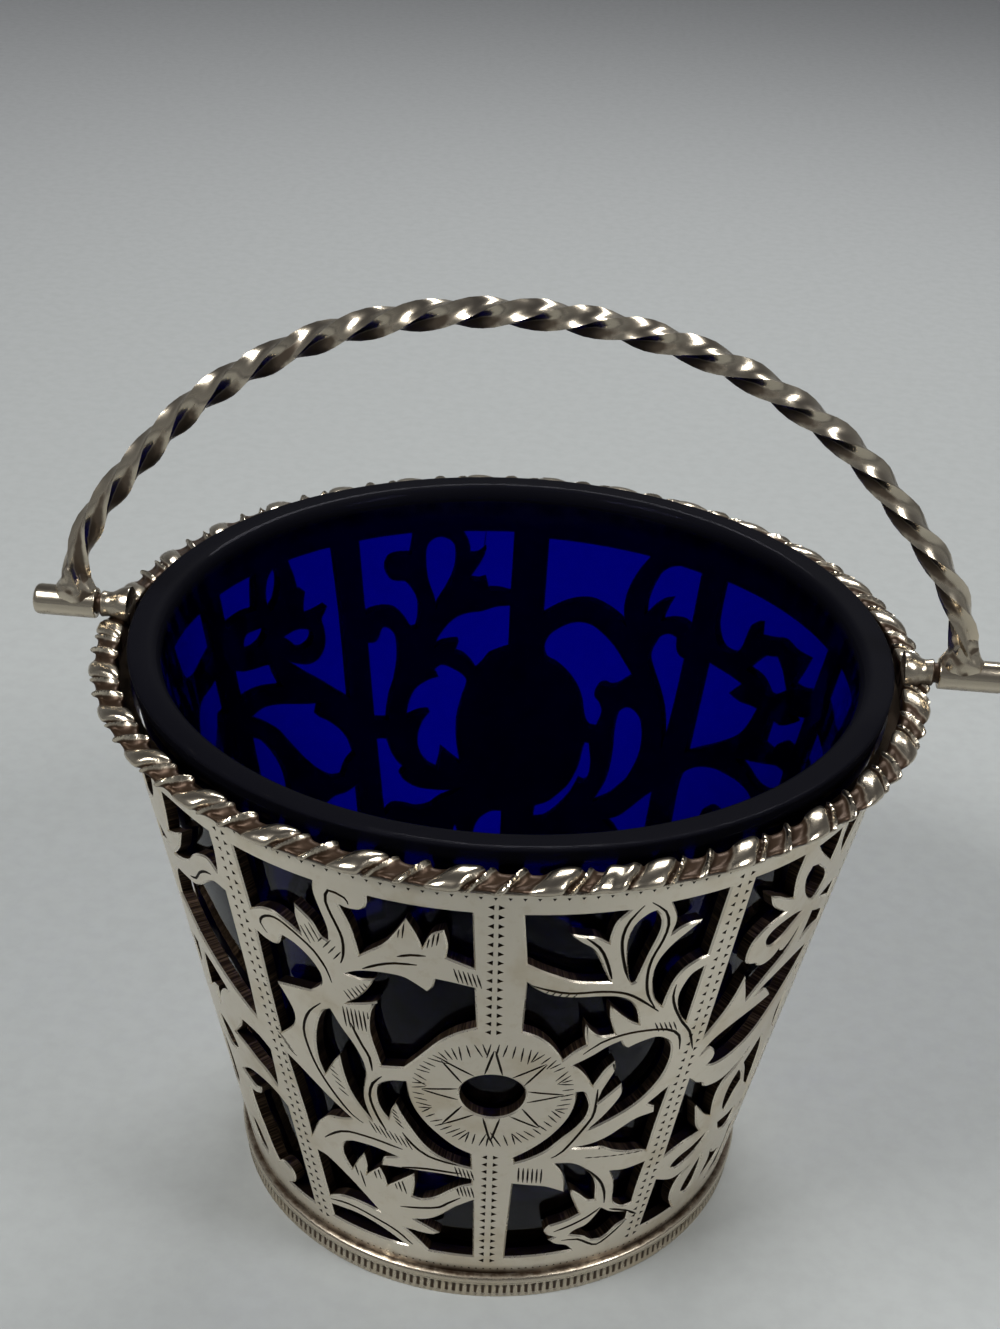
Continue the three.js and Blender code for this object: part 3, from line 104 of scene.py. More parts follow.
def spun(name, profile, axis='Z', steps=256, closed=True):
    # The profile is drawn point by point, [out from the axis, along it], then spun round
    def place(point):
        out, along = point
        return Vector((out, 0, along)) if axis == 'Z' else Vector((along, 0, out))
    piece = added(name, bpy.ops.mesh.primitive_plane_add, size=mm)
    editMesh(piece)
    bpy.ops.mesh.merge(type='CENTER')
    bpy.ops.transform.translate(value=place(profile[0]) * mm)
    before = place(profile[0])
    for point in profile[1:] + (profile[:1] if closed else []):
        step = place(point) - before
        bpy.ops.mesh.extrude_vertices_move(TRANSFORM_OT_translate={'value': step * mm})
        before = place(point)
    bpy.ops.mesh.select_all(action='SELECT')
    bpy.ops.mesh.spin(steps=steps, angle=tau, center=(0, 0, 0),
                      axis=(0, 0, 1) if axis == 'Z' else (1, 0, 0))
    bpy.ops.object.mode_set(mode='OBJECT')
    tidyShell(piece)
    return piece


def rounded(corners, size, steps=4):
    # Corners of a profile, each rounded by its own radius, given third, or by size
    points = []
    count = len(corners)
    for i, corner in enumerate(corners):
        here = Vector(corner[:2])
        radius = corner[2] if len(corner) > 2 else size
        if radius == 0:
            points.append(list(here))
            continue
        before = Vector(corners[i - 1][:2]) - here
        ahead = Vector(corners[(i + 1) % count][:2]) - here
        reach = min(radius, before.length * 0.45, ahead.length * 0.45)
        start = here + before.normalized() * reach
        end = here + ahead.normalized() * reach
        for k in range(steps + 1):
            t = k / steps
            points.append(list((1 - t) ** 2 * start + 2 * t * (1 - t) * here + t * t * end))
    return points


class Wire:
    # One socket of a node tree, so that shader sums are written as sums
    def __init__(self, tree, socket=None):
        self.tree = tree
        self.socket = socket

    def node(self, kind, settings={}, sockets={}, output=0):
        made = self.tree.nodes.new(kind)
        for name, value in settings.items():
            if name == 'stops':
                ramp = made.color_ramp
                while len(ramp.elements) < len(value):
                    ramp.elements.new(0.5)
                for element, (position, shade) in zip(ramp.elements, value):
                    element.position = position
                    element.color = (*shade, 1)
            else:
                setattr(made, name, value)
        for name, value in sockets.items():
            if isinstance(value, Wire):
                self.tree.links.new(value.socket, made.inputs[name])
            else:
                made.inputs[name].default_value = value
        return Wire(self.tree, made.outputs[output] if made.outputs else None)

    def sums(self, operation, *values, clamp=False):
        settings = {'operation': operation, 'use_clamp': clamp}
        return self.node('ShaderNodeMath', settings, dict(enumerate(values)))

    def __add__(self, other):
        return self.sums('ADD', self, other)

    def __sub__(self, other):
        return self.sums('SUBTRACT', self, other)

    def __rsub__(self, other):
        return self.sums('SUBTRACT', other, self)

    def __mul__(self, other):
        return self.sums('MULTIPLY', self, other)

    def __truediv__(self, other):
        return self.sums('DIVIDE', self, other)

    def __pow__(self, other):
        return self.sums('POWER', self, other)

    __radd__ = __add__
    __rmul__ = __mul__

    def clamped(self):
        return self.sums('ADD', self, 0, clamp=True)

    def between(self, low, high):  # 0 at low, 1 at high, smooth between them
        return self.node('ShaderNodeMapRange', {'interpolation_type': 'SMOOTHSTEP'},
                         {'Value': self, 'From Min': low, 'From Max': high})

    def blended(self, first, second):  # colours first and second, by this mask
        return self.node('ShaderNodeMix', {'data_type': 'RGBA'}, {'Factor': self, 6: first, 7: second}, 2)

    def noise(self, place, scale, detail, roughness):
        return self.node('ShaderNodeTexNoise', {},
                         {'Vector': place, 'Scale': scale, 'Detail': detail, 'Roughness': roughness})

    def bump(self, height, strength, distance, normal=None):
        sockets = {'Height': height, 'Strength': strength, 'Distance': distance}
        if normal:
            sockets['Normal'] = normal
        return self.node('ShaderNodeBump', {}, sockets)


def newMaterial(name):
    material = bpy.data.materials.new(name)
    material.use_nodes = True
    material.node_tree.nodes.clear()
    return material, Wire(material.node_tree)


def colour(red, green, blue):  # screen values 0-255 to the linear colour that a socket takes
    return tuple(round((v / 255 / 12.92) if v <= 10 else ((v / 255 + 0.055) / 1.055) ** 2.4, 5)
                 for v in (red, green, blue)) + (1.0,)


# Windows sawn in the front half, panel by panel: [angle, height], with a 1 at a sharp corner
flamePanel = [
    [[-34.4, 54.3, 1], [-21.1, 54.3, 1], [-21.3, 53], [-20.7, 51.2], [-19.9, 49.1], [-20, 47.4, 1],
     [-21.1, 47.8], [-22.1, 49.1], [-23.4, 49.9], [-24.8, 50.6, 1], [-25, 49.1], [-24.4, 47, 1],
     [-26.5, 47.8], [-28.8, 48.4], [-31, 48.2], [-32.7, 47.6], [-33.6, 47.2, 1]],
    [[-13.2, 54.3, 1], [0.8, 54.3, 1], [1, 50.9], [1.2, 47.6, 1], [-1.1, 48.2], [-2.6, 48.6, 1],
     [-2.4, 50.2], [-2.9, 51.9, 1], [-4.6, 51.2], [-5.9, 49.4, 1], [-6.7, 50.9], [-8, 52.6, 1],
     [-9.3, 51], [-11.2, 49.1], [-13.4, 47.8], [-15.2, 46.8, 1], [-15.6, 48.4], [-16.2, 50.3],
     [-17.5, 52.4, 1], [-16, 52.2], [-14.1, 52.5], [-13.3, 53.4]],
    [[-33.5, 44.6, 1], [-31.4, 44.1], [-29.4, 44.2], [-28.2, 45.7, 1], [-26.1, 45.4], [-23.9, 44.4],
     [-22.4, 43], [-22.2, 41.7], [-23, 40.8], [-24.6, 39.9, 1], [-28.1, 39.4], [-31.4, 38.8, 1],
     [-30.2, 37.6], [-29.1, 35.9], [-29.3, 34.4], [-30.7, 33], [-33.3, 31.4, 1], [-33.5, 38]],
    [[-33.1, 28.8, 1], [-30.7, 28], [-27.5, 26.6], [-24.8, 25.3], [-20.6, 23.4, 1], [-22.9, 22.8],
     [-25.5, 22.3], [-27.5, 21.2], [-29.1, 20], [-31.2, 17.5, 1], [-31.5, 20.5], [-32.2, 24]],
    [[-21.5, 38.3, 1], [-20, 36.4], [-18.2, 34.6], [-16.9, 32.6], [-16.6, 30.9], [-17.2, 29.1],
     [-17.6, 27.3], [-17.2, 25.7], [-16.4, 24.1, 1], [-18.6, 25.9], [-20, 27.6], [-20.8, 29.8],
     [-21.1, 32.2, 1], [-22.6, 30.9], [-24.8, 28.5, 1], [-25.5, 30.1], [-25.6, 31.9], [-25.1, 34.1],
     [-24.1, 36.1], [-22.9, 37.6]],
    [[-17.7, 43.9, 1], [-15.4, 44.7], [-12.4, 45.2], [-9.2, 45.3], [-7.4, 44.8], [-5.4, 43.9, 1],
     [-4.6, 44.6], [-4.2, 45.7, 1], [-1.7, 45.5], [1.3, 45.1, 1], [1.5, 42.6], [1.7, 40, 1],
     [-1.1, 39.1], [-3.8, 37.7], [-5.9, 36.1], [-7.8, 34.6], [-9.7, 33.2, 1], [-13.6, 32.6, 1],
     [-14.1, 34.1], [-14.7, 35.9], [-14.9, 37.6], [-14.3, 39.8], [-12.9, 41.5, 1], [-14.4, 40.9],
     [-18.4, 39.9, 1], [-16.4, 41], [-14.5, 42.6], [-13.2, 44.2, 1], [-15.4, 43.8]],
    [[-9.6, 31.2, 1], [-9.3, 29.4], [-8.4, 27.6], [-6.6, 25.8], [-4, 24.1], [-1.4, 22.8], [1.2, 22, 1],
     [1.4, 19.9, 1], [-1.4, 20.3], [-4.6, 21.2], [-7.2, 22.6], [-9.3, 24.6], [-10.7, 26.2],
     [-11.7, 27.7, 1], [-12.6, 26.6], [-13.2, 25.2, 1], [-14.2, 26], [-14.9, 27.3], [-14.9, 28.9],
     [-14.1, 29.9], [-12.1, 30.8]],
    [[-22.4, 15.3, 1], [-20.9, 16.9], [-19.2, 18.6, 1], [-18.8, 16.9], [-19.2, 15.3, 1], [-17.7, 16.2],
     [-16.2, 17.1, 1], [-15.4, 16], [-14.9, 14.6, 1], [-12.4, 15.9], [-9.2, 17.6, 1], [-9.3, 15.9],
     [-9.8, 14, 1], [-7.9, 13.9], [-5.3, 14.6], [-2.7, 15.9], [-0.4, 16.9], [1.6, 17.4, 1],
     [1.6, 18.1, 1], [-3.3, 18.4], [-7.9, 18.3], [-12.5, 18], [-15.7, 17.6, 1], [-15.4, 18.4],
     [-14.7, 19.1], [-12.1, 19.7, 1], [-15.7, 20.1], [-18.6, 20.1], [-21.3, 19.8], [-23.1, 19],
     [-23.8, 17.8], [-23.5, 16.6]],
    [[-30.7, 15.6, 1], [-28.1, 15.5], [-25.5, 14.6], [-22.9, 13.4], [-20.3, 11.9], [-17.3, 10, 1],
     [-20.3, 10.3], [-23.5, 10.3], [-26.1, 10], [-28.1, 9.4], [-29.9, 8.7, 1], [-30.3, 12]],
    [[2, 14.8, 1], [-1.4, 13.4], [-4.6, 11.6], [-7.2, 10.7], [-9.8, 10.3, 1], [-6.6, 9.4],
     [-4.6, 8.8, 1], [-6.6, 8.3], [-12.1, 8.5, 1], [-9.8, 7.3], [-7.1, 5.6, 1], [2.2, 5.6, 1]],
    [[-29.9, 7.4, 1], [-26.8, 7.8], [-22.9, 8.1], [-19, 7.7], [-15.7, 6.9], [-13.1, 6], [-12, 5.6, 1],
     [-29.7, 5.6, 1]],
]
ribbonPanel = [
    [[7.5, 54.3, 1], [21.3, 54.2, 1], [19.8, 53], [19.3, 51.6], [19.2, 50.5, 1], [17.5, 51.3],
     [15.6, 51.6], [13.6, 52, 1], [15.1, 50.9], [17, 49.9], [18.3, 48.4], [19.4, 46.8], [20.4, 45.5, 1],
     [15.6, 46], [12.5, 46.9], [10.4, 47.6], [8.4, 48.4, 1]],
    [[25, 53.6, 1], [24.1, 53.4], [22.8, 52.6], [22.1, 51.4], [22, 49.8], [22.5, 47.6], [23.1, 45.9],
     [23.7, 44.9], [24.3, 45, 1], [24.7, 46.2], [25.4, 48.4], [26.2, 50.5], [26.3, 51.9], [25.7, 53]],
    [[27.2, 54.3, 1], [36, 54.2, 1], [35.8, 50.1], [35.6, 46.1, 1], [33.8, 45.9], [31.9, 45.2],
     [30.7, 44], [30.1, 42.3], [29.8, 40.8, 1], [28.4, 41.9], [27.4, 43.7], [27, 45.7], [27.4, 47.3],
     [28.8, 48.8], [30.4, 49.8], [32.8, 51.1, 1], [30.9, 51.2], [29.4, 50.9], [28.2, 50.3, 1],
     [28.6, 51.6], [28.4, 52.6], [27.8, 53.5]],
    [[35.6, 44.7, 1], [33.8, 44.2], [32.9, 43.2], [32.4, 41.9], [32.7, 40.5], [33.5, 39.2], [34.4, 38.2],
     [35.3, 37.5, 1]],
    [[8.6, 46.1, 1], [9.7, 45.3], [12, 44.4], [15.3, 43.9], [19.2, 43.7], [22.1, 43.3], [24.2, 42.4],
     [25.7, 40.9], [26.5, 39.1, 1], [24.9, 39.8], [23.1, 40.9], [21.2, 42.3, 1], [21.5, 40.7],
     [22.8, 38.3, 1], [20.5, 38.4], [19, 39.2], [17.9, 40.2, 1], [18, 38.9], [18.5, 37.4, 1],
     [16.9, 36.7], [15.2, 35.6, 1], [14.3, 36.6], [12.7, 38], [10.7, 39.1], [8.6, 39.7, 1]],
    [[16.9, 34.7, 1], [19.5, 35.6], [22.1, 36.7], [24.1, 37.2, 1], [24.7, 36.4], [25.5, 36, 1],
     [27.3, 36.4], [29.9, 36.6], [31.9, 36], [33.5, 34.8], [34.1, 33], [33.7, 30.9], [32.2, 29.1],
     [29.9, 27.6], [26.7, 26.4], [21.6, 25, 1], [23.9, 26.6], [25.6, 28.2], [26.5, 29.6], [26, 31, 1],
     [24.6, 30.1], [22.3, 28.7, 1], [22.8, 30.5], [23.6, 31.9], [24.3, 33.2], [23.9, 34.5, 1],
     [22.4, 33.4], [20.9, 31.4, 1], [19.8, 32.6], [18.3, 33.9]],
    [[18.3, 30.8, 1], [18.5, 29.4], [17.9, 27.6], [16.6, 26], [14.6, 24.4], [11.7, 22.8], [8.8, 21.6, 1],
     [9.2, 20.9, 1], [12, 21.6], [14.6, 22.6], [16.9, 24.1], [19.2, 25.5], [20.6, 26.9], [20.9, 28.4],
     [20.2, 29.8], [19.4, 30.7]],
    [[35.8, 28.5, 1], [32.1, 26.8, 1], [33.2, 26.3], [33.9, 26], [34.2, 25.1, 1], [30.6, 25],
     [28.1, 24.2], [25.7, 23.3], [22.8, 22.7], [19.3, 22.5, 1], [22.8, 22.1], [25, 21.9], [27.3, 21],
     [30.6, 20.1], [33.2, 19.7], [35.1, 19.1, 1], [35.3, 23.7]],
    [[16.4, 20.4, 1], [19.5, 20.1], [22, 19.1], [24.1, 17.6], [25.4, 15.9], [26.1, 13.4, 1],
     [24.4, 13.7], [22.6, 14.8], [20.5, 15.9, 1], [21.1, 14.4], [23.3, 11.6, 1], [20.8, 10.9],
     [17.4, 10.4, 1], [16.6, 9.7], [17, 8.9], [18.9, 8.3, 1], [17.7, 7.9, 1], [19.2, 7.1], [21.5, 6.6],
     [23.2, 5.6, 1], [8.9, 5.6, 1], [9, 11.6], [9.2, 17.6, 1], [12, 17.3], [15.1, 16.9], [17.5, 16.2],
     [19.3, 15.6, 1], [19, 17.3], [18.1, 18.9]],
    [[28, 17.6, 1], [30.6, 17.2], [33.5, 17.2], [35.7, 17.3, 1], [35.3, 14.1], [35.3, 10.9, 1],
     [33.2, 10.9], [31.2, 11.7], [30.3, 12.6], [29.9, 14.1], [29.3, 15.9]],
    [[28, 11.6, 1], [29.9, 10.7], [32.5, 10], [34.9, 9.4, 1], [35, 8.2, 1], [32.9, 7.8], [31.2, 6.8],
     [29.6, 6.3, 1], [27.3, 6.6], [25.4, 7.5], [22.2, 8.3, 1], [23.1, 8.9], [25.4, 9.4], [27, 10.5]],
]
bowPanel = [
    [[40.2, 54.3, 1], [50.2, 54, 1], [50.1, 51.2], [51.3, 48.4, 1], [49.1, 49.1], [47.2, 49.9],
     [45.1, 50.6, 1], [46.2, 49.2], [47.7, 48.2], [50.3, 47, 1], [47.5, 46.6], [45.4, 45.8],
     [44.2, 44.6], [44.3, 42.8], [45.5, 42], [47, 41.6], [48.2, 40.9], [49.9, 40.7], [51.7, 41],
     [53, 41.8, 1], [53.8, 40.9], [55.7, 41.6], [57.9, 43.6, 1], [57.5, 41.8], [55.5, 40.1],
     [51.7, 38.5], [48.2, 36.5, 1], [47.3, 38], [45.7, 40.4, 1], [44.9, 38.5], [43.3, 36.4],
     [40.2, 33.9, 1]],
    [[47.8, 44.4], [48.5, 45.2], [50.8, 45.6], [53.7, 45.6], [56.2, 45.1, 1], [53.7, 44.2], [52.1, 43.5],
     [50.1, 43.1], [48.7, 43.4]],
    [[53.4, 51.4, 1], [52.9, 50.3], [54, 48.5], [55.7, 47.1], [57.3, 46.2], [58.5, 45.9],
     [59.6, 46.5, 1], [60.3, 47.7], [58.9, 49.1], [57, 50.1], [55.3, 51]],
    [[53.2, 54, 1], [59.6, 54, 1], [60.2, 51.9], [59.9, 49.9, 1], [57.6, 51.2], [55.3, 52.5]],
    [[61, 54, 1], [67.5, 54, 1], [65.4, 51.6], [64.1, 49, 1], [62.5, 50.6], [61.4, 52]],
    [[60.7, 45, 1], [64.8, 45.2], [67.7, 44.8, 1], [67.7, 42.8, 1], [64.8, 43.8], [62.5, 44.5]],
    [[60.6, 43.4, 1], [62.8, 42.6], [65.4, 41.8], [67.7, 40.8, 1], [67.7, 39.6, 1], [62.8, 40.5],
     [59.8, 40, 1], [60.4, 41.6]],
    [[50.4, 36.3, 1], [53, 37.1], [56.3, 37.6], [60.2, 37.9], [64.1, 37.6], [66.6, 36.9, 1],
     [64.1, 35.1], [61.2, 33.2], [58.6, 31.6], [55.7, 30.1], [52.4, 29.1], [48.5, 28.6], [45.5, 28.7],
     [43.6, 29.2, 1], [44.6, 29.8], [44.6, 30.7], [43.6, 31.5], [42.3, 32], [40.8, 31.4, 1],
     [42.9, 32.8], [45.9, 33.6], [49.8, 34.1], [56.2, 34.4, 1], [54.7, 35.5], [52.7, 36.4]],
    [[40.2, 28.2, 1], [42, 27.1], [44, 26.4], [44.9, 25.6], [47.5, 25.1], [50.4, 25.1], [53.4, 25.8],
     [56.4, 27.2, 1], [54, 25.5], [51, 24.4], [50.1, 22.8], [50.4, 21], [51.3, 19.1, 1], [49, 20.1],
     [46.8, 21.6], [44.3, 23.3, 1], [45.5, 21.4], [47, 19.2], [49, 17.6, 1], [45.2, 17.6], [42.3, 17.2],
     [40.3, 16.7, 1]],
    [[55.9, 24.1, 1], [57.9, 22.8], [59.4, 21.2, 1], [57.9, 20.1], [57, 18.7], [56.6, 17.9, 1],
     [55, 19.1], [54.2, 20.9], [54.5, 22.6]],
    [[60.5, 27.3, 1], [62.8, 24.8], [64.1, 21.9], [65.1, 18.4, 1], [62.2, 19.8], [60.4, 21.4],
     [58.6, 23.4], [57, 24.8, 1], [58.8, 26]],
    [[65.1, 31.8, 1], [63.8, 29.8], [64.3, 28], [65.8, 26.4], [67.5, 25.6, 1], [66.6, 27.3],
     [65.8, 29.4]],
    [[43.4, 14.2], [44.9, 15.1], [47.8, 15.5], [50.4, 16.1], [52.5, 16.6, 1], [51.7, 15.5], [49.8, 14.4],
     [47.2, 13.7], [44.9, 13.5]],
    [[55.7, 16.5, 1], [58.9, 16.3], [61.5, 16.4], [62.5, 15.7], [61.8, 14.4], [59.6, 14.1], [57.3, 15]],
    [[53.6, 12.5, 1], [52.1, 10.9], [50.8, 9.1], [50.6, 7.8], [52.4, 7.1], [53.8, 7.6], [54.3, 9.1],
     [54.2, 10.9]],
    [[57.7, 11.6, 1], [59.6, 10.3], [61.9, 10], [63.2, 9.2], [61.5, 8.2], [58.9, 7.3], [57.1, 7.1, 1],
     [57.9, 8.4], [58.4, 10]],
    [[40.3, 13, 1], [42.3, 12.3], [45.2, 11.6], [48.5, 11.8], [49.9, 12, 1], [47.8, 11.2], [46.7, 9.8],
     [46.8, 8.2], [47.8, 6.9], [49.4, 5.6, 1], [40, 5.6, 1]],
    [[64.6, 12.4, 1], [67.7, 13.2, 1], [67.7, 5.6, 1], [61, 5.6, 1], [64, 7.4], [65.2, 9.8]],
    [[66.6, 23.2, 1], [67.7, 23.6, 1], [67.7, 15, 1], [65.2, 14.4, 1], [66.8, 18]],
    [[65.4, 34.4, 1], [67.7, 36, 1], [67.7, 31.8, 1]],
]
leafPanel = [
    [[-39.3, 54.2, 1], [-44.3, 54.3], [-49, 54.2], [-52.5, 53.8, 1], [-53.5, 50.8], [-54.9, 48.3, 1],
     [-52.2, 49.1], [-48.6, 50.5, 1], [-49.9, 49.1], [-51.5, 47.6], [-55.1, 45.5, 1], [-52.2, 46.2],
     [-48.9, 47.3], [-46.3, 48.9], [-44, 49.8], [-41.7, 50.2], [-39.8, 49.3, 1], [-39.2, 52]],
    [[-38.9, 47.4, 1], [-41.4, 47.5], [-43.7, 46.6], [-46, 45.4], [-48.3, 44.5], [-51.5, 44.1],
     [-55.4, 43.6, 1], [-57.9, 42.3], [-59.3, 40.5], [-60.1, 38.7, 1], [-57.4, 38], [-53.5, 36.2],
     [-48.9, 34.6], [-44.3, 33], [-39.2, 31.3, 1], [-38.7, 38]],
    [[-37.6, 27.6, 1], [-39.8, 28.4], [-42.4, 28.7], [-45.2, 28.6, 1], [-46.3, 27.3], [-48.3, 26],
     [-49.9, 25, 1], [-46.3, 24.7], [-43, 23.9], [-40.4, 23.3], [-38.2, 22.1, 1], [-37.8, 24]],
    [[-55.2, 33.6, 1], [-51.5, 33.1], [-47.3, 31.5, 1], [-49.9, 30.7], [-52.2, 29.4], [-54.1, 27, 1],
     [-53.6, 28.7], [-53.1, 29.7, 1], [-55.4, 29.2], [-57.8, 28.1, 1], [-57.1, 30.5], [-56.2, 32.3]],
    [[-58, 33.4, 1], [-61, 33.2], [-64, 32], [-67.6, 29.5, 1], [-67.6, 26, 1], [-64, 28.5], [-61, 29.6],
     [-59, 31.2]],
    [[-58.2, 24.1], [-55.4, 24.6], [-52.5, 24.1], [-50.9, 22.6], [-52.2, 21.8], [-54.8, 21.4],
     [-57.1, 22.3]],
    [[-36.5, 19.9, 1], [-39.1, 20.9], [-42.4, 21.3], [-46.3, 21], [-48.9, 20.3], [-51.8, 19.1, 1],
     [-47.6, 18.5], [-44.9, 19.2, 1], [-46.3, 17.8], [-48.9, 17.1], [-50.7, 16.9, 1], [-50.6, 15.1],
     [-50.1, 13.4], [-48.9, 11.2], [-47.6, 9.1], [-46.3, 7.8, 1], [-45, 8.5], [-43, 8.9], [-41.1, 8.5],
     [-40.6, 7.5], [-41.6, 6.4], [-43.4, 5.7, 1], [-35.3, 5.7, 1], [-35.7, 11.6]],
    [[-56.4, 46.2, 1], [-62, 46.6], [-67.6, 44.4, 1], [-67.6, 41.6, 1], [-64.5, 43.7], [-60, 45.3]],
    [[-67.5, 54.2, 1], [-55.5, 54.2, 1], [-57.5, 51.6], [-60.5, 50], [-64, 49.2], [-67.6, 48.6, 1]],
    [[-57, 9.4], [-55, 10.6], [-52.6, 9.4], [-51, 7.2], [-53.4, 6.9], [-56, 7.4]],
    [[-67.6, 23, 1], [-63.8, 21.6], [-60.5, 20.9, 1], [-58.4, 18.6], [-58.2, 15.4, 1], [-60.4, 13.2],
     [-64, 12.2], [-67.6, 12.6, 1]],
    [[-67.6, 10.2, 1], [-64.4, 10.2], [-61.4, 8.6], [-60.6, 5.6, 1], [-67.6, 5.6, 1]],
    [[-67.6, 39.4, 1], [-65.4, 40.6], [-62.8, 40.4, 1], [-63, 37.6], [-64.8, 35.6], [-67.6, 34.4, 1]],
]
sidePanel = [
    [[72.5, 54.3, 1], [87.6, 54.3, 1], [86.8, 51.4], [84, 49.4], [79.4, 48.6], [72.5, 49.6, 1]],
    [[72.5, 47.2, 1], [77, 46.6], [82, 46.4], [85.6, 44.6], [87.2, 41.6, 1], [84.6, 39.4], [80.4, 38.6],
     [76.6, 40.4], [74.4, 42.4], [72.5, 42.6, 1]],
    [[72.5, 39.8, 1], [75.6, 37.6], [79.6, 36.2], [84.6, 36.8], [87.4, 38.6, 1], [88.2, 34.6],
     [86.8, 31], [83, 28.8], [77.4, 28.4], [72.5, 30.4, 1]],
    [[72.5, 27.6, 1], [77, 26.2], [82.6, 26.4], [86.6, 28, 1], [87.8, 25], [87, 21.6], [84.2, 18.8],
     [79.6, 17.2], [72.5, 18.4, 1]],
    [[72.5, 15.8, 1], [78, 14.8], [83.4, 15.8], [87.2, 18.4, 1], [88, 14.6], [86.8, 11], [83.4, 8.4],
     [79, 7.4], [72.5, 8.6, 1]],
]
# The back half's sawn windows: angles from the back towards +X
backTearPanel = [
    [[-14.2, 54.4, 1], [-4.5, 54.4, 1], [-4.6, 50], [-4.7, 47.3, 1], [-7, 47.6], [-8.9, 47.6, 1],
     [-9.5, 48.9, 1], [-11, 48.7], [-13, 48.9, 1], [-11.5, 50.1], [-10.2, 51.4], [-9.6, 52.4, 1],
     [-11, 51.7], [-12.8, 51.6, 1], [-12.7, 52.6], [-13.3, 53.5]],
    [[-20.8, 53.1], [-18.5, 53.9], [-16, 53.2], [-15.3, 51.5], [-15.8, 49.5], [-17.2, 47.8],
     [-18.8, 46.4], [-19.6, 45.5, 1], [-19.7, 47], [-20.8, 49], [-21.2, 51.2]],
    [[-34.2, 54.6, 1], [-23.2, 54.6, 1], [-23.6, 53.2], [-24, 52.1, 1], [-26, 52.2], [-28, 52],
     [-29, 51], [-28.7, 49.9], [-27.3, 49.4], [-25.5, 49.2], [-24, 48], [-22.9, 46.5], [-22.9, 44.8],
     [-23.4, 43.6, 1], [-24.5, 43.6], [-25.4, 44.6], [-27.3, 45.9], [-29.5, 46.4], [-32, 46.4],
     [-34.1, 46.1, 1]],
    [[-34.1, 42.9, 1], [-32.6, 42.8], [-31.6, 43.3], [-31, 44.1], [-30, 44.3], [-28.6, 43.6],
     [-27.6, 42.3], [-27.6, 40], [-28.6, 37.6], [-29.8, 36], [-30.5, 34.4], [-30.8, 33.4, 1],
     [-34, 33.8, 1]],
    [[-4.7, 45.9, 1], [-7.5, 45.7], [-10.2, 45.2], [-13, 45], [-15.5, 44.5], [-17.6, 43.5],
     [-19.3, 42.2], [-20.2, 41, 1], [-18.5, 41.5], [-16.5, 41.7], [-14.9, 41.7, 1], [-15.8, 40.4, 1],
     [-14, 40], [-12.4, 39.2], [-11.2, 38.2, 1], [-9.9, 38.9], [-8.5, 39.9], [-6.6, 40.4],
     [-4.7, 40.8, 1]],
    [[-20.3, 38.5, 1], [-18.5, 39.1], [-16, 38.5], [-13.8, 37.6], [-13.1, 36.4], [-14.2, 34.5],
     [-15.2, 32.2], [-15.3, 29.5], [-14.6, 27, 1], [-16.6, 27.9], [-18.8, 29, 1], [-19.2, 27.8],
     [-19.9, 26.5, 1], [-21.8, 27.2], [-23.4, 28.4], [-24.3, 30], [-24, 31.5], [-22.8, 32.8],
     [-21.3, 33.6, 1], [-23.5, 33.6], [-26.8, 33.1, 1], [-26, 35], [-24.3, 36.6], [-21.6, 37.4],
     [-19.2, 37.7, 1]],
    [[-33.9, 31.5, 1], [-32.6, 31.4], [-31.3, 31.1], [-30.6, 29.9], [-29.6, 28.4], [-27.3, 27.2, 1],
     [-28.6, 26.4], [-27.4, 25.6], [-24.8, 24.7], [-21.4, 24.2], [-17.6, 23.9], [-14, 24.2, 1],
     [-16.2, 23.4], [-19.4, 22.8], [-21.8, 22.1], [-25, 22], [-28, 22.6], [-31, 22.9], [-33.4, 22, 1]],
    [[-4.6, 21.2, 1], [-7.2, 21.1], [-9.9, 20.2], [-11.4, 18.5], [-12, 16.6], [-13.6, 15.4, 1],
     [-14.4, 17.4], [-15.9, 19.6, 1], [-17, 17.6], [-17.3, 15.4], [-19.8, 14.6], [-21.4, 13.2, 1],
     [-18.6, 12.4], [-14.4, 11.9, 1], [-16, 10.6], [-19.4, 9.6, 1], [-15.6, 8.8], [-12.6, 7.4],
     [-11.4, 5.6, 1], [-4.4, 5.6, 1]],
    [[-33.6, 19.8, 1], [-30.2, 20.4], [-26.6, 20], [-23.8, 18.6], [-22.6, 16.6, 1], [-25, 15.8],
     [-26.8, 14.4, 1], [-29.2, 15], [-31.2, 16.4], [-33.5, 16.6, 1]],
    [[-33.2, 13.6, 1], [-30.6, 13], [-27.4, 12.4], [-24.6, 11], [-23.6, 9], [-25.6, 7.4], [-28.8, 7],
     [-31, 8.2], [-33, 8.4, 1]],
]
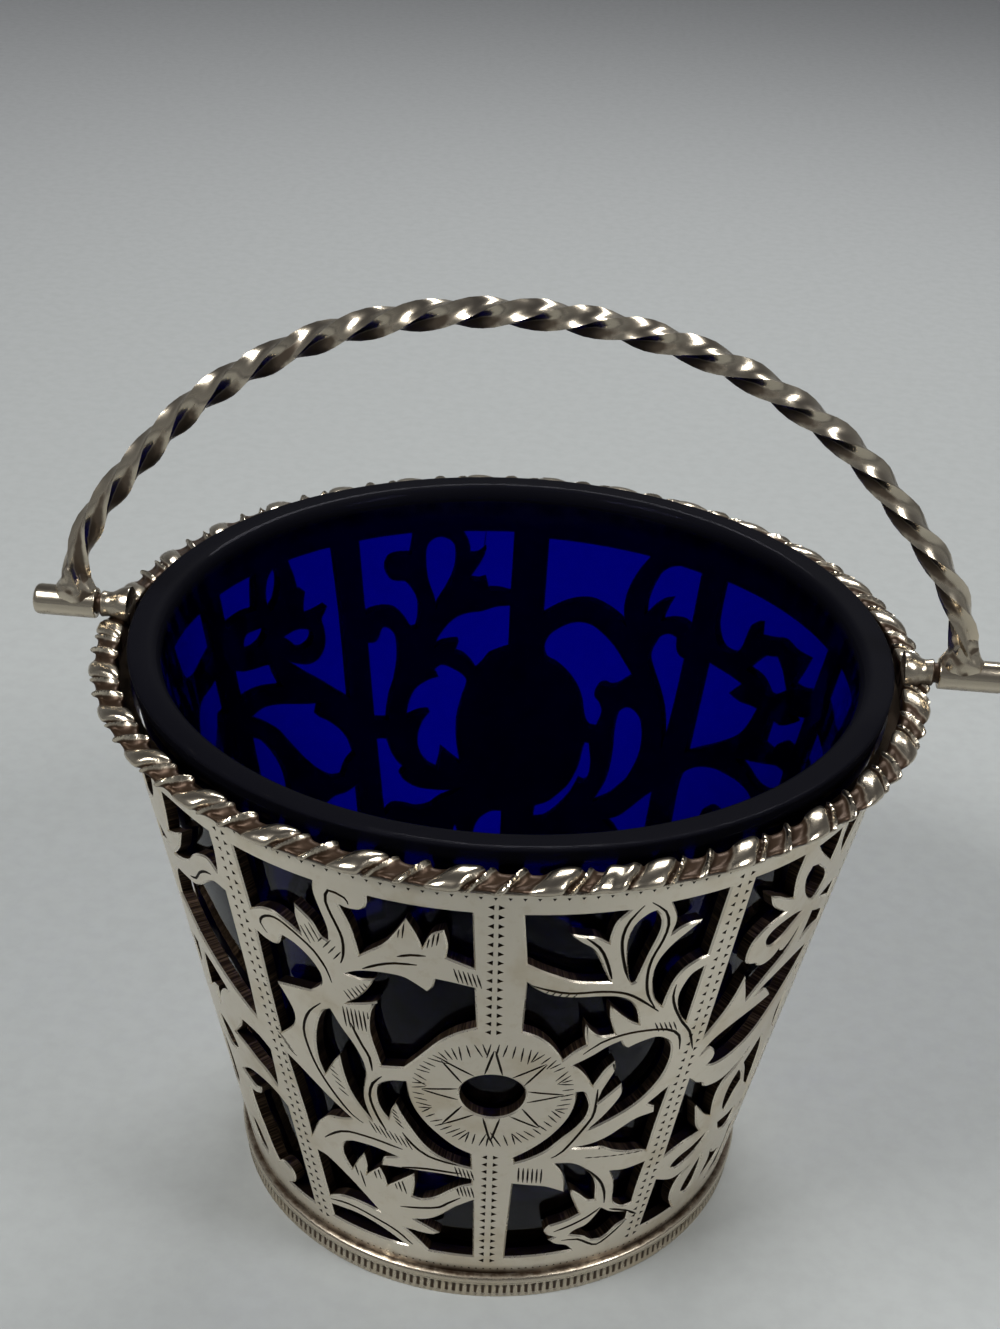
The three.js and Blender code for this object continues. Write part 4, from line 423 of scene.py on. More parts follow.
backScrollPanel = [
    [[2, 53.9, 1], [21.7, 53.9, 1], [20, 52.2], [18.5, 50], [18, 48], [18.4, 46.4], [19.3, 45.3, 1],
     [17.3, 46.1], [14.5, 46.9], [11, 47.4], [7.5, 47], [4.5, 46.1], [2, 45.1, 1]],
    [[2.7, 41.2], [3.6, 42.8], [5.8, 43.9], [8.5, 44.7], [11.5, 44.8], [14.5, 44], [17.3, 42.8],
     [19.8, 41.3], [22.1, 40, 1], [20.5, 39.3], [18.8, 38.4], [17.3, 38], [15.8, 38.1], [14.5, 37.6],
     [14.4, 36.6], [15.6, 36, 1], [16.4, 35], [15.9, 33.8], [15.3, 32.7, 1], [13.6, 32.7], [12.4, 33.6],
     [11.4, 35.6], [9.8, 37.2], [7.6, 38.5], [5.3, 39.4], [3.3, 39.9]],
    [[22.5, 36.3], [25, 35.6], [26.3, 33.8], [26.5, 31.6], [25.6, 29.6], [24.2, 27.8], [22.3, 26.4],
     [20, 25], [17, 23.9, 1], [18.6, 25.6], [19.5, 27.6], [19.7, 30], [19.4, 32.5], [19.7, 34.8],
     [20.8, 35.8]],
    [[13.5, 30.9, 1], [12.9, 29.5], [12.4, 27.4], [11, 25.5], [8.8, 24.1], [6.4, 22.9], [3.4, 22.2, 1],
     [3.1, 20.4, 1], [5.4, 20.7], [7.7, 21.7], [10, 23.2], [11.5, 24.6], [12.6, 26.1, 1], [14.1, 26],
     [15.2, 26.9], [15.5, 28.5], [14.9, 30], [14.5, 30.9, 1]],
    [[22.3, 48.6], [23, 50.5], [24.2, 52.2], [26, 53.3], [28, 53.8, 1], [32.5, 53.8, 1], [32.6, 47.3, 1],
     [30.5, 47.8], [28, 47.6], [26, 47.1, 1], [26.5, 48.4], [27.4, 49.8, 1], [25.5, 49.3], [23.9, 48.4],
     [22.4, 47.2, 1]],
    [[32.5, 43.9, 1], [32.4, 40], [32.1, 36], [31.6, 32.6, 1], [31, 34.6], [29.8, 37], [28, 39],
     [25.8, 41], [24.6, 42.5], [25.2, 44], [26.4, 45.3], [28.2, 46], [30, 45.9, 1], [30.3, 44.8],
     [31.2, 44.1]],
    [[31.4, 27.6, 1], [28.9, 26.1], [26.6, 24.6], [24, 23.2], [20.2, 22.2, 1], [22.4, 21.7],
     [24.8, 20.6], [27.4, 19.6], [31.6, 19.2, 1]],
    [[2.4, 18.2, 1], [5.6, 18.5], [9.4, 18.1], [13.2, 17], [16.4, 15, 1], [17.2, 16.6], [18.6, 18, 1],
     [19.4, 16], [21.6, 14, 1], [17.6, 13.5], [13.4, 13.9], [9.2, 15.4], [5.6, 16.8]],
    [[2.6, 14.2, 1], [6.6, 13.2], [10.4, 11.8], [14.6, 11.2], [17.6, 11.4, 1], [15.2, 10], [11.6, 9.3],
     [7.8, 8.9, 1], [10.6, 7.9], [13.4, 6.6], [15, 5.6, 1], [2.2, 5.6, 1]],
    [[31.4, 16.6, 1], [28.6, 16.4], [25.8, 14.6], [22.6, 12.4], [19.4, 9.4, 1], [23.2, 9.6], [26.6, 8.4],
     [29, 6.6], [31.2, 6, 1]],
]
backBowPanel = [
    [[-49.5, 54.6, 1], [-39.4, 54.6, 1], [-39.1, 46], [-39.3, 37, 1], [-42, 38.3], [-45, 39.8],
     [-48, 41.2], [-50.5, 42.5], [-53.5, 44, 1], [-51.3, 43.2], [-48, 42.5], [-45.3, 42.8], [-43.7, 44],
     [-43.4, 45.6], [-43.8, 47, 1], [-42.2, 48.2, 1], [-44.6, 47.9], [-47.7, 47.8, 1], [-47.4, 49.3],
     [-46.7, 50.6, 1], [-48.2, 51.1], [-48.6, 52.6]],
    [[-52.6, 54.3], [-51.9, 52.8], [-53, 51], [-54.3, 50.2], [-55.4, 49.9, 1], [-55.9, 51.1],
     [-55.4, 52.7], [-54.3, 53.8]],
    [[-67.6, 54.6, 1], [-57.2, 54.6, 1], [-58, 53], [-58.8, 50.8, 1], [-61.5, 51], [-65, 50.9],
     [-67.6, 50.8, 1]],
    [[-63.8, 48], [-62.5, 48.9], [-60, 48.8], [-57.6, 48.6], [-57, 47.8], [-58.5, 47.1], [-60.6, 46.9],
     [-62.8, 47.2]],
    [[-53.3, 46.6, 1], [-50, 46.8], [-47.4, 46.4], [-46, 45.6], [-46.7, 44.7], [-48.8, 44.4],
     [-50.5, 45], [-51.6, 45.8]],
    [[-67.6, 46, 1], [-65, 45.3], [-61.5, 44.8], [-58.5, 44.5], [-56.8, 43.9], [-56.3, 42.8],
     [-55.4, 41.3, 1], [-59, 41.9], [-62.5, 42.3], [-65.4, 42.4], [-67.6, 42.5, 1]],
    [[-65.8, 40.2, 1], [-62, 40.3], [-58, 39.8], [-54, 39], [-50, 38.2], [-46.3, 37.7, 1],
     [-47.4, 36.2, 1], [-45, 35.2], [-42.5, 33.8], [-40.3, 32], [-39.4, 30.3, 1], [-41.4, 29.5],
     [-43, 28.2, 1], [-45.5, 28.5], [-48.5, 29.8], [-51.5, 31.6], [-54, 33.4], [-56.3, 35.2],
     [-58.5, 37], [-61.5, 38.5]],
    [[-66.6, 38, 1], [-63.6, 36.8], [-61, 35], [-59, 32.9], [-58, 30.5], [-58.4, 27.5, 1], [-61.5, 28.4],
     [-64.6, 30.2], [-66.6, 32.5, 1]],
    [[-49, 26, 1], [-46, 26.4], [-43, 26.3], [-39.5, 26.8, 1], [-39.6, 19.4, 1], [-42.6, 19.8],
     [-45, 21.6, 1], [-45.4, 23.4], [-46.8, 25]],
    [[-55.4, 26.8, 1], [-54.4, 24], [-55, 21.4], [-57.6, 19.4], [-61.4, 18.8], [-64.6, 20],
     [-66.8, 22.4, 1], [-63.6, 23], [-60.6, 24], [-57.8, 25.6]],
    [[-39.8, 17, 1], [-43.4, 17.4], [-46.8, 16.4], [-49.4, 14.2], [-50.2, 11.6, 1], [-47.4, 11.8],
     [-44.6, 10.8, 1], [-43.8, 12.4], [-41.8, 13.4], [-40, 13.6, 1]],
    [[-52.8, 15.8], [-55.6, 16.2], [-58.6, 15.8], [-60.2, 14.4], [-58.8, 12.8], [-55.8, 12.6],
     [-53.2, 13.8]],
    [[-40.2, 8.6, 1], [-44.4, 8.4], [-49, 9], [-53.6, 10], [-57.8, 9.8], [-61.8, 8.4], [-64.8, 6.4, 1],
     [-40.4, 5.6, 1]],
]
backFlowerPanel = [
    [[37.4, 54, 1], [68.2, 54.2, 1], [68, 49.5, 1], [65.8, 48.7], [63, 48], [60.3, 47.7, 1],
     [61.3, 49.2], [62.3, 51.2, 1], [59.5, 50.9], [57, 50.8], [54, 51], [51, 50.4], [48, 49.9, 1],
     [47.4, 51.3, 1], [46, 50.9], [45.5, 49.8], [45.1, 48.3], [44, 47.1], [42, 46.6], [39.7, 46.9],
     [38, 48.3], [37.5, 50]],
    [[54.4, 49.4, 1], [56.8, 48.5], [58.4, 47.6], [59.7, 46.9, 1], [57.6, 46], [56.2, 45.2],
     [54.4, 44.9], [52.8, 45.4], [50.8, 45.9], [47.4, 46, 1], [49, 47.2], [51.2, 48.6], [53, 49]],
    [[37.5, 44.8, 1], [40, 44.6], [43.5, 44.5], [47.3, 44.3, 1], [46.2, 43.6], [44.8, 42.6, 1],
     [48, 42.4], [50.6, 42.7], [53, 42.9, 1], [52, 41], [50.4, 39.3], [47.6, 37.7], [44.2, 36.2],
     [41, 35], [37.5, 33.7, 1]],
    [[57.2, 43.2, 1], [60, 43.1], [62.3, 43.6], [64.8, 44.6, 1], [62.6, 45.1], [65.6, 45.7],
     [68.2, 46.3, 1], [68.2, 42.6, 1], [66.4, 42.1], [63.6, 41.9], [62, 41.2], [61.5, 39.8, 1],
     [57, 39.8, 1], [57, 41.4]],
    [[67.2, 39.6, 1], [64, 39.3], [60, 38.3], [56, 37.4], [53.2, 36.9], [51, 36.4, 1], [54.4, 35.9],
     [58, 35.4], [61.6, 35.6], [65, 36.6], [67.6, 37.6, 1]],
    [[37, 30], [39, 31.8], [42, 33], [46, 33.8], [50, 34.1], [54, 34.3], [58, 34.1], [61.4, 33.2, 1],
     [59.4, 31.6], [56.8, 29.8], [54.8, 27.6, 1], [52.6, 28.8], [50, 29.4], [47.5, 29.4, 1], [46, 28.8],
     [45.2, 27.2], [43, 25.6], [40, 25.3], [37.2, 24.2, 1]],
    [[67.2, 34.4, 1], [67.4, 25.6, 1], [64.2, 24.8], [61.2, 22.8, 1], [61, 25.4], [59.6, 27.4, 1],
     [62.8, 28.8], [65.6, 31.2]],
    [[37.4, 21.6, 1], [40.6, 22.4], [44.2, 22.2], [47.6, 20.6], [49.6, 18, 1], [46.4, 18.2], [43.8, 17],
     [42, 14.8, 1], [40.2, 15.8], [37.8, 16, 1]],
    [[52.6, 22.6], [55, 23.6], [57.2, 22.4], [57.8, 20], [56.6, 17.6], [54, 17], [52, 18.6],
     [51.6, 20.8]],
    [[66.8, 21.4, 1], [63.6, 20.6], [61.2, 18.4], [60.2, 15.6], [61.4, 13, 1], [63.4, 14],
     [66.4, 14.2, 1]],
    [[38, 12.6, 1], [41.2, 12.2], [44.8, 13.4], [48.2, 14.8], [51.8, 14.8], [55.4, 13.4], [57.8, 11, 1],
     [54.6, 10.6], [52.2, 9], [50.8, 6.6, 1], [48, 8.6], [44.6, 9.4], [41, 8.8], [38.4, 7, 1]],
    [[65.8, 11, 1], [61.8, 10.2], [58.4, 8.4], [56, 5.8, 1], [65.4, 5.8, 1]],
]


# The wall of pierced sheet

pail = {
    'footRadius': 26.2,
    'topRadius': 37.3,
    'foot': 2.8,
    'top': 57.5,
    'sheet': 1.2,
    'sides': 360,
    'chamfer': 0.16,  # how far the filed edge of a window spreads, and its depth
    'lineWidth': 0.3,
    'lineDepth': 0.14,
    'lineStep': 0.7,
    'pitWidth': 0.86,
    'pitDepth': 0.26,
    'creaseAngle': 24,
}
wallSlope = (pail['topRadius'] - pail['footRadius']) / (pail['top'] - pail['foot'])


def wallRadius(height):
    return pail['footRadius'] + wallSlope * (height - pail['foot'])


def onWall(angle, height, out=0.0):
    radius = wallRadius(height) + out
    return Vector((radius * sin(radians(angle)), -radius * cos(radians(angle)), height))


def flattened(point):  # from [angle, height] to millimetres along the sheet and up it
    return Vector((radians(point.x) * wallRadius(point.y), point.y))


def rolled(point):  # and back
    return Vector((degrees(point.x / wallRadius(point.y)), point.y))


def curved(t, here, ahead, leave, reach):  # between two points, with the headings at both
    return ((2 * t**3 - 3 * t**2 + 1) * here + (t**3 - 2 * t**2 + t) * leave
            + (3 * t**2 - 2 * t**3) * ahead + (t**3 - t**2) * reach)


def smoothOutline(outline, steps=4):  # curves through the points, straight into the sharp corners
    points = [Vector(point[:2]) for point in outline]
    sharp = [len(point) > 2 for point in outline]
    count = len(points)
    made = []
    for i in range(count):
        j = (i + 1) % count
        before, here, ahead, after = points[i - 1], points[i], points[j], points[(i + 2) % count]
        leave = (ahead - here) if sharp[i] else (ahead - before) / 2
        reach = (ahead - here) if sharp[j] else (after - here) / 2
        parts = steps
        if sharp[i] and sharp[j]:
            parts = 1 + int(abs(ahead.x - here.x) / 2.5)
        made += [curved(k / parts, here, ahead, leave, reach) for k in range(parts)]
    return made


def spread(outline, distance):  # the outline moved outwards on the sheet by a distance
    flat = [flattened(p) for p in outline]
    count = len(flat)
    turn = 1 if sum(flat[i - 1].cross(flat[i]) for i in range(count)) > 0 else -1
    moved = []
    for i, point in enumerate(flat):
        one = (point - flat[i - 1]).normalized()
        two = (flat[(i + 1) % count] - point).normalized()
        side = Vector((one.y + two.y, -one.x - two.x)) * turn
        side = side.normalized() / max(0.62, sqrt(max(0, (1 + one.dot(two)) / 2)))
        moved.append(rolled(point + side * distance))
    return moved


def cutterShape(rings, flatEnds, looks):
    # Rings of points joined into a closed block; looks are the material slots of its bands
    verts = [point for ring in rings for point in ring]
    count = len(rings[0])
    caps = [tuple(face) for face in tessellate_polygon([[Vector((*p, 0)) for p in flatEnds]])]
    faces = [tuple(reversed(face)) for face in caps]
    slots = [looks[0]] * len(caps)
    for i in range(len(rings) - 1):
        for j in range(count):
            k = (j + 1) % count
            faces.append((i * count + j, i * count + k, (i + 1) * count + k, (i + 1) * count + j))
            slots.append(looks[i])
    last = (len(rings) - 1) * count
    faces += [tuple(last + corner for corner in face) for face in caps]
    slots += [looks[-1]] * len(caps)
    return verts, faces, slots


def boxOf(points, margin):
    across = [radians(p.x) * wallRadius(30) for p in points]
    up = [p.y for p in points]
    return (min(across) - margin, max(across) + margin, min(up) - margin, max(up) + margin)


def windowCutter(outline):
    outline = smoothOutline(outline)
    if sum(outline[i - 1].cross(outline[i]) for i in range(len(outline))) < 0:
        outline.reverse()
    size = pail['chamfer']
    lift = 0.1
    edge = spread(outline, size + lift)
    rings = [[onWall(*p, -pail['sheet'] - 1.2) for p in outline], [onWall(*p, -size) for p in outline],
             [onWall(*p, lift) for p in edge], [onWall(*p, 1.6) for p in edge]]
    return cutterShape(rings, outline, [1, 3, 3]), boxOf(edge, 0.05)


def lineCutter(path, width=1.0, blunt=0.35):
    # A graver's cut: a V groove along the path, thinner at both ends
    points = [Vector(p) for p in path]
    flat = [flattened(p) for p in points]
    made = []
    for i in range(len(flat) - 1):
        before = flat[max(0, i - 1)]
        after = flat[min(len(flat) - 1, i + 2)]
        here, ahead = flat[i], flat[i + 1]
        parts = max(2, int((ahead - here).length / pail['lineStep']))
        leave, reach = (ahead - before) / 2, (after - here) / 2
        made += [curved(k / parts, here, ahead, leave, reach) for k in range(parts)]
    made.append(flat[-1])
    rings = []
    lift = 0.05
    for i, point in enumerate(made):
        way = (made[min(i + 1, len(made) - 1)] - made[max(i - 1, 0)]).normalized()
        side = Vector((-way.y, way.x))
        share = min(1, blunt + 4 * min(i, len(made) - 1 - i) / len(made)) * width
        half = share * pail['lineWidth'] / 2
        depth = share * pail['lineDepth']
        wide = half * (depth + lift) / depth
        ring = []
        for offset, out in ((wide, lift), (-wide, lift), (0, -depth)):
            there = point + side * offset
            ring.append(onWall(degrees(there.x / wallRadius(there.y)), there.y, out))
        rings.append(ring)
    flatEnd = [Vector((1, 0)), Vector((0, 0)), Vector((0.5, -1))]
    return cutterShape(rings, flatEnd, [2] * (len(rings) - 1)), boxOf([rolled(p) for p in made], 0.35)


def pitCutter(angle, height, turn=0, size=1.0):  # one prick of the three-sided punch, its tip turned
    half = size * pail['pitWidth'] / 2
    top = []
    for way in (turn, turn + 120, turn + 240):
        across = degrees(half * sin(radians(way)) / wallRadius(height))
        top.append(onWall(angle - across, height + half * cos(radians(way)), 0.06))
    low = onWall(angle, height, -size * pail['pitDepth'])
    faces = [(0, 1, 2), (0, 3, 1), (1, 3, 2), (2, 3, 0)]
    return (top + [low], faces, [2] * 4), boxOf([Vector((angle, height))], half + 0.05)


def inGroups(cutters):  # cutters that don't touch each other go together
    groups = []
    for shape, box in cutters:
        for group in groups:
            if all(box[1] < b[0] or box[0] > b[1] or box[3] < b[2] or box[2] > b[3] for _, b in group):
                group.append((shape, box))
                break
        else:
            groups.append([(shape, box)])
    return groups


def cutAway(piece, cutters):
    for group in inGroups(cutters):
        verts, faces, slots = [], [], []
        for (points, rings, looks), _ in group:
            start = len(verts)
            verts += [point * mm for point in points]
            faces += [tuple(start + corner for corner in face) for face in rings]
            slots += looks
        mesh = bpy.data.meshes.new('cutters')
        mesh.from_pydata(verts, [], faces)
        for material in piece.data.materials:
            mesh.materials.append(material)
        mesh.polygons.foreach_set('material_index', slots)
        cutter = bpy.data.objects.new('cutters', mesh)
        bpy.context.collection.objects.link(cutter)
        applied(piece, 'BOOLEAN', operation='DIFFERENCE', solver='MANIFOLD', object=cutter)
        bpy.data.objects.remove(cutter)
        bpy.data.meshes.remove(mesh)


def atBack(outlines):  # angles counted from the back towards +X
    return [[[180 - p[0], *p[1:]] for p in outline] for outline in outlines]


def toOtherSide(outlines):
    return [[[-p[0], *p[1:]] for p in outline] for outline in outlines]


# Lines of the graver, [angle, height] from end to end
flameLines = [
    [[-15.9, 52.8], [-16.4, 53.5], [-18.7, 53.8], [-19.3, 52.3], [-18.5, 50.5], [-17.5, 48.4],
     [-17.7, 46.2], [-18.3, 45.1]],
    [[-31, 45.1], [-32, 46], [-31.4, 46.9], [-29.7, 47.6], [-27.8, 47.6], [-24.8, 46.6],
     [-22.6, 45.5], [-20.9, 43.7], [-20.3, 42.1]],
    [[-14.9, 45.2], [-12.5, 46.2], [-9.9, 46.9], [-6.7, 47.2]],
    [[-9.5, 47.8], [-7.6, 48.3], [-5.4, 48.5]],
    [[-18, 37.5], [-17.3, 36.2], [-16.4, 34.8], [-15.4, 33.4], [-15.2, 31.6]],
    [[-13.6, 31.2], [-15.4, 29.8], [-16.2, 28], [-15.8, 26.2], [-14.7, 24.4], [-13.8, 23.4]],
    [[-23, 38.7], [-25.5, 36.9], [-27.1, 34.8], [-27.5, 33], [-26.8, 30.5], [-25.5, 28.4],
     [-22.9, 25.9], [-20.3, 24.1], [-18.2, 23.4]],
    [[-27.6, 18.5], [-24.8, 20.1], [-21.6, 21.2], [-16.4, 21.5], [-11, 21.1]],
    [[-10.8, 23.7], [-9.2, 22.3], [-6.3, 20.9], [-0.7, 20.1]],
    [[-11.5, 18.3], [-6.6, 18.9], [-0.4, 18.9]],
    [[-12.5, 11.9], [-7.9, 12.5], [-4.6, 13.1], [-3, 13.9], [-0.4, 15.1]],
    [[-29.6, 8.3], [-26.5, 8.9], [-22.6, 9.1], [-17.7, 8.5], [-13.8, 7.6], [-10.5, 6]],
    [[-49.5, 45.1], [-47.3, 45.7], [-45.4, 47.1], [-43.4, 48], [-41.7, 48.3]],
]
ribbonLines = [
    [[8.8, 45.9], [11, 45.3], [14.6, 44.6], [19.5, 44.4], [23.1, 43.7], [26, 42.3], [29.3, 40.3]],
    [[15.9, 51.4], [17.9, 50.1], [19.2, 48.4], [20.5, 45.9]],
    [[23.1, 54.6], [21.5, 53], [20.9, 51.2], [21.3, 49.1], [22.4, 46.6], [23.4, 45.1]],
    [[24.1, 54.8], [26.4, 53.4], [27.3, 51.6], [27, 49.8], [26, 47.6], [25.9, 45.5], [26.7, 43],
     [28.5, 40.9]],
    [[31.2, 43.4], [31.2, 41.9], [32.2, 40.1], [34.5, 37.6], [36.5, 35.9], [38.4, 33]],
    [[18.2, 36.2], [20.8, 37.5], [24.1, 38.1], [28, 38], [31.9, 37.3], [34.5, 35.9], [35.5, 33.7]],
    [[21.8, 30.9], [22, 27.6], [21.1, 25.9], [17.6, 22.3], [15.6, 21.4]],
    [[19.5, 20], [22.8, 18.7], [26, 16.6], [27.7, 14.4], [28.3, 12.5]],
    [[18.5, 9.3], [22.1, 10], [25.4, 10.9], [27.7, 11.9]],
    [[20.5, 7.6], [24.1, 7.3], [28, 5.7], [30, 5.7], [33.2, 7.1], [34.8, 8]],
    [[29.9, 11.2], [33.9, 10], [37.4, 8.5]],
]
# The same on the back half, angles from the back towards +X
backLines = [
    [[3, 44.4], [5.5, 45.4], [9, 46.1], [12.5, 46], [15.5, 45.2], [18.6, 43.8]],
    [[22, 53.2], [20.4, 51], [19.6, 48.6], [20.2, 46], [21.8, 43.4], [24.2, 40.6], [26.6, 37.8],
     [28.6, 34.6], [29.4, 31.2], [28.2, 28.4]],
    [[17.6, 37], [18.6, 35], [18.4, 32], [17.8, 29.4], [16.6, 27]],
    [[12, 31.8], [11.4, 29.4], [9.6, 27], [7.4, 25.2]],
    [[4, 19.6], [8.4, 19.4], [12.6, 18.6], [17.6, 19.2], [21, 20.4]],
    [[4, 15.6], [8.6, 14], [13, 12.6], [18, 12.4], [21.4, 13]],
    [[-22.4, 53.4], [-22.2, 50], [-21.5, 47], [-21.9, 44], [-23.4, 41], [-25.8, 38.6], [-28, 36.4]],
    [[-17.4, 45.9], [-14.6, 47], [-11, 47.4], [-6, 46.7]],
    [[-31.8, 45], [-29.6, 45.3], [-27, 44.4], [-25.6, 42.2]],
    [[-27.8, 32], [-27.2, 29.8], [-25.4, 27.4], [-22, 25.8], [-18, 25.1], [-13.6, 25.6]],
    [[-31.4, 21.4], [-27.6, 21.2], [-23.6, 20.6], [-20.6, 21.4], [-16.6, 21.6]],
    [[-41, 36.4], [-45, 38], [-49, 39.8], [-53, 41], [-58, 41.2], [-63, 41.4]],
    [[-55, 48], [-52, 48.6], [-48.6, 48.2], [-45, 47.2]],
    [[-66, 41], [-62.6, 37.8], [-60, 35.6], [-57.4, 32.6], [-55.4, 29.6], [-51, 28.6], [-46, 27.2]],
    [[40, 45.8], [43.4, 45.6], [47, 45.2], [50, 44.4], [54, 44], [56, 42], [54.6, 39.6]],
    [[39.4, 33.4], [43.4, 35], [47.8, 36.6], [53, 38.4], [58, 39.2], [63, 40.4]],
    [[39, 23.4], [43, 24], [47, 25.8], [50.6, 27.6], [53.4, 26], [57, 24.6], [59.6, 22]],
    [[39.4, 14.2], [43.4, 13.6], [47, 16], [51.4, 15.8], [56, 15], [59.4, 12]],
]
# Rows of short cuts: [first place], [last place], how many, [angle and height that one cut runs]
hatching = [
    [[-24.2, 48.2], [-21.9, 49.3], 4, [0.9, -1.3]],
    [[-10.4, 50.2], [-8.6, 50.2], 4, [0.3, 1.5]],
    [[-5.2, 49.5], [-3.9, 50], 3, [0.3, 1.3]],
    [[-21.6, 46.9], [-19.4, 45.3], 4, [1, 0.9]],
    [[-18.4, 41.6], [-15, 43.3], 6, [0.9, -0.8]],
    [[-19, 39.4], [-14.9, 39.6], 7, [0.15, -1.9]],
    [[-24.2, 30.8], [-22.2, 27.4], 5, [1.3, -0.5]],
    [[-34, 31.4], [-32.2, 29.9], 4, [1.3, -0.5]],
    [[-17, 24.1], [-10.4, 22.9], 8, [0.9, -1.1]],
    [[-12.9, 27.2], [-11.9, 25.2], 4, [1, -0.6]],
    [[-21.6, 16.9], [-20.4, 15.6], 2, [0.5, -1.6]],
    [[-17.6, 17.4], [-16.6, 17.4], 2, [0.5, -1.5]],
    [[-13.6, 16.6], [-11.8, 16.4], 3, [0.6, -1.5]],
    [[-1.6, 47.4], [1.6, 46.9], 6, [0.5, -1.2]],
    [[-1.5, 19.9], [1.4, 19.5], 5, [0.5, -1.1]],
    [[-1.3, 17.1], [1.5, 16.9], 5, [0.5, -1.2]],
    [[10, 20.2], [14.2, 19.8], 6, [0.1, -1.6]],
    [[22, 20.7], [33.6, 19.4], 8, [1.1, -0.1]],
    [[10.5, 44.1], [14.5, 43.4], 5, [0.9, 0.7]],
    [[29.2, 38.8], [32.6, 38.2], 5, [0.8, -1]],
    [[23.3, 34.9], [26.8, 35.6], 5, [0.5, -1.2]],
    [[24.4, 21.6], [29.4, 20.9], 5, [0.4, 1]],
]
backHatching = [
    [[12.6, 38.8], [14.8, 40.4], 4, [1, 0.6]],
    [[23.2, 46.8], [25.4, 46.4], 4, [-0.3, -1.4]],
    [[-12.6, 50.6], [-10.6, 47.9], 4, [0.9, -0.2]],
    [[-19.4, 40.6], [-15.8, 41.2], 5, [0.5, -1]],
    [[-25.6, 33.2], [-22.2, 33.2], 5, [0.6, -0.8]],
    [[-19.9, 26.2], [-15.4, 26.8], 5, [0.6, -0.9]],
    [[45.6, 51.6], [47.8, 51.4], 3, [0.3, -1.4]],
    [[45, 43.8], [49.4, 43.6], 5, [0.6, -0.7]],
    [[-46.6, 49.4], [-43.4, 48.6], 4, [-0.6, -1]],
]
cartouche = {'place': [181.3, 29.0], 'halfWidth': 7.1, 'halfHeight': 11.2, 'cuts': 88}
medallion = {
    'place': [4.6, 30.7],
    'hole': 3.0,
    'rays': 8,
    'rayFoot': 3.2,
    'rayTip': 6.4,
    'rayHalfAngle': 14,
    'edge': 7.9,
    'cuts': 66,
    'cutsInset': 0.6,
}
straps = [  # the two rows of pricks on each upright strap: [angle at the top, angle at the foot]
    [3.3, 4.2], [4.4, 6.2], [37.4, 36.8], [39.1, 38.7], [-37.5, -33.6], [-35.9, -31.7],
    [-70.9, -70.4], [-69.1, -68.7], [69.2, 69.4], [70.8, 71],
    [180.2, 180.4], [182.4, 182.2], [144.3, 144.6], [146.4, 146.8], [215.9, 215.7], [217.9, 217.5],
    [109.2, 109.6], [111, 111.4], [249.2, 249], [251, 250.8],
]


def hatchLines(groups):
    lines = []
    for first, last, count, run in groups:
        for i in range(count):
            t = i / (count - 1)
            start = [a + (b - a) * t for a, b in zip(first, last)]
            wave = 0.15 * noise.noise(Vector((7 * start[0], start[1], 0)))
            lines.append([start, [start[0] + run[0] * (1.4 + wave), start[1] + run[1] * (1.4 + wave)]])
    return lines


def medallionLines():
    angle, height = medallion['place']

    def place(out, turn):
        across = degrees(out * sin(radians(turn)) / wallRadius(height))
        return [angle + across, height + out * cos(radians(turn))]
    rays, cuts = [], []
    for i in range(medallion['rays']):
        turn = 360 * i / medallion['rays']
        for side in (-1, 1):
            foot = place(medallion['rayFoot'], turn + side * medallion['rayHalfAngle'])
            rays.append([foot, place(medallion['rayTip'], turn + side * 0.5)])
    for i in range(medallion['cuts']):  # short cuts in from its edge
        turn = 360 * (i + 0.5) / medallion['cuts']
        wave = noise.noise(Vector((0.4 * i, 2.2, 0)))
        edge = medallion['edge'] - medallion['cutsInset']
        length = 1 + 0.9 * abs(wave) + 0.6 * abs(cos(radians(turn))) ** 4
        cuts.append([place(edge, turn), place(edge - length, turn + 14 * wave)])
    return rays, cuts


def cartoucheLines():
    angle, height = cartouche['place']

    def place(size, turn):
        across = degrees(cartouche['halfWidth'] * size * sin(radians(turn)) / wallRadius(height))
        return [angle + across, height + cartouche['halfHeight'] * size * cos(radians(turn))]
    lines = []
    for i in range(cartouche['cuts']):
        turn = 360 * (i + 0.5) / cartouche['cuts']
        fan = 0.6 + 0.4 * abs(cos(radians(turn * 6)))
        lines.append([place(0.93, turn), place(0.93 - 0.14 * fan, turn + 3 * sin(radians(turn * 12)))])
    for i in range(6):
        lines.append([place(0.72, 60 * i + 2 + 6 * k) for k in range(10)])
    return lines


pricks = {
    'perStrap': 46,
    'lowest': 5.0,
    'run': 50.2,
    'frontStrap': 1.0,  # sizes of the punch
    'otherStraps': 0.92,
    'rings': [(236, 3.6, 0, 0.5), (195, 56.25, 180, 0.66)],  # how many, height, turn, size
}


def strapPits():
    pits = []
    for i, (top, foot) in enumerate(straps):
        for k in range(pricks['perStrap']):
            share = k / (pricks['perStrap'] - 1)
            height = pricks['lowest'] + pricks['run'] * share
            if i < 2 and abs(height - medallion['place'][1]) < medallion['edge'] + 0.4:
                continue
            if 180 <= top < 183 and abs(height - cartouche['place'][1]) < cartouche['halfHeight']:
                continue
            size = pricks['frontStrap' if i < 2 else 'otherStraps']
            pits.append([foot + (top - foot) * share, height, 90 if i % 2 == 0 else -90, size])
    for count, height, turn, size in pricks['rings']:
        pits += [[360 * i / count, height, turn, size] for i in range(count)]
    return pits


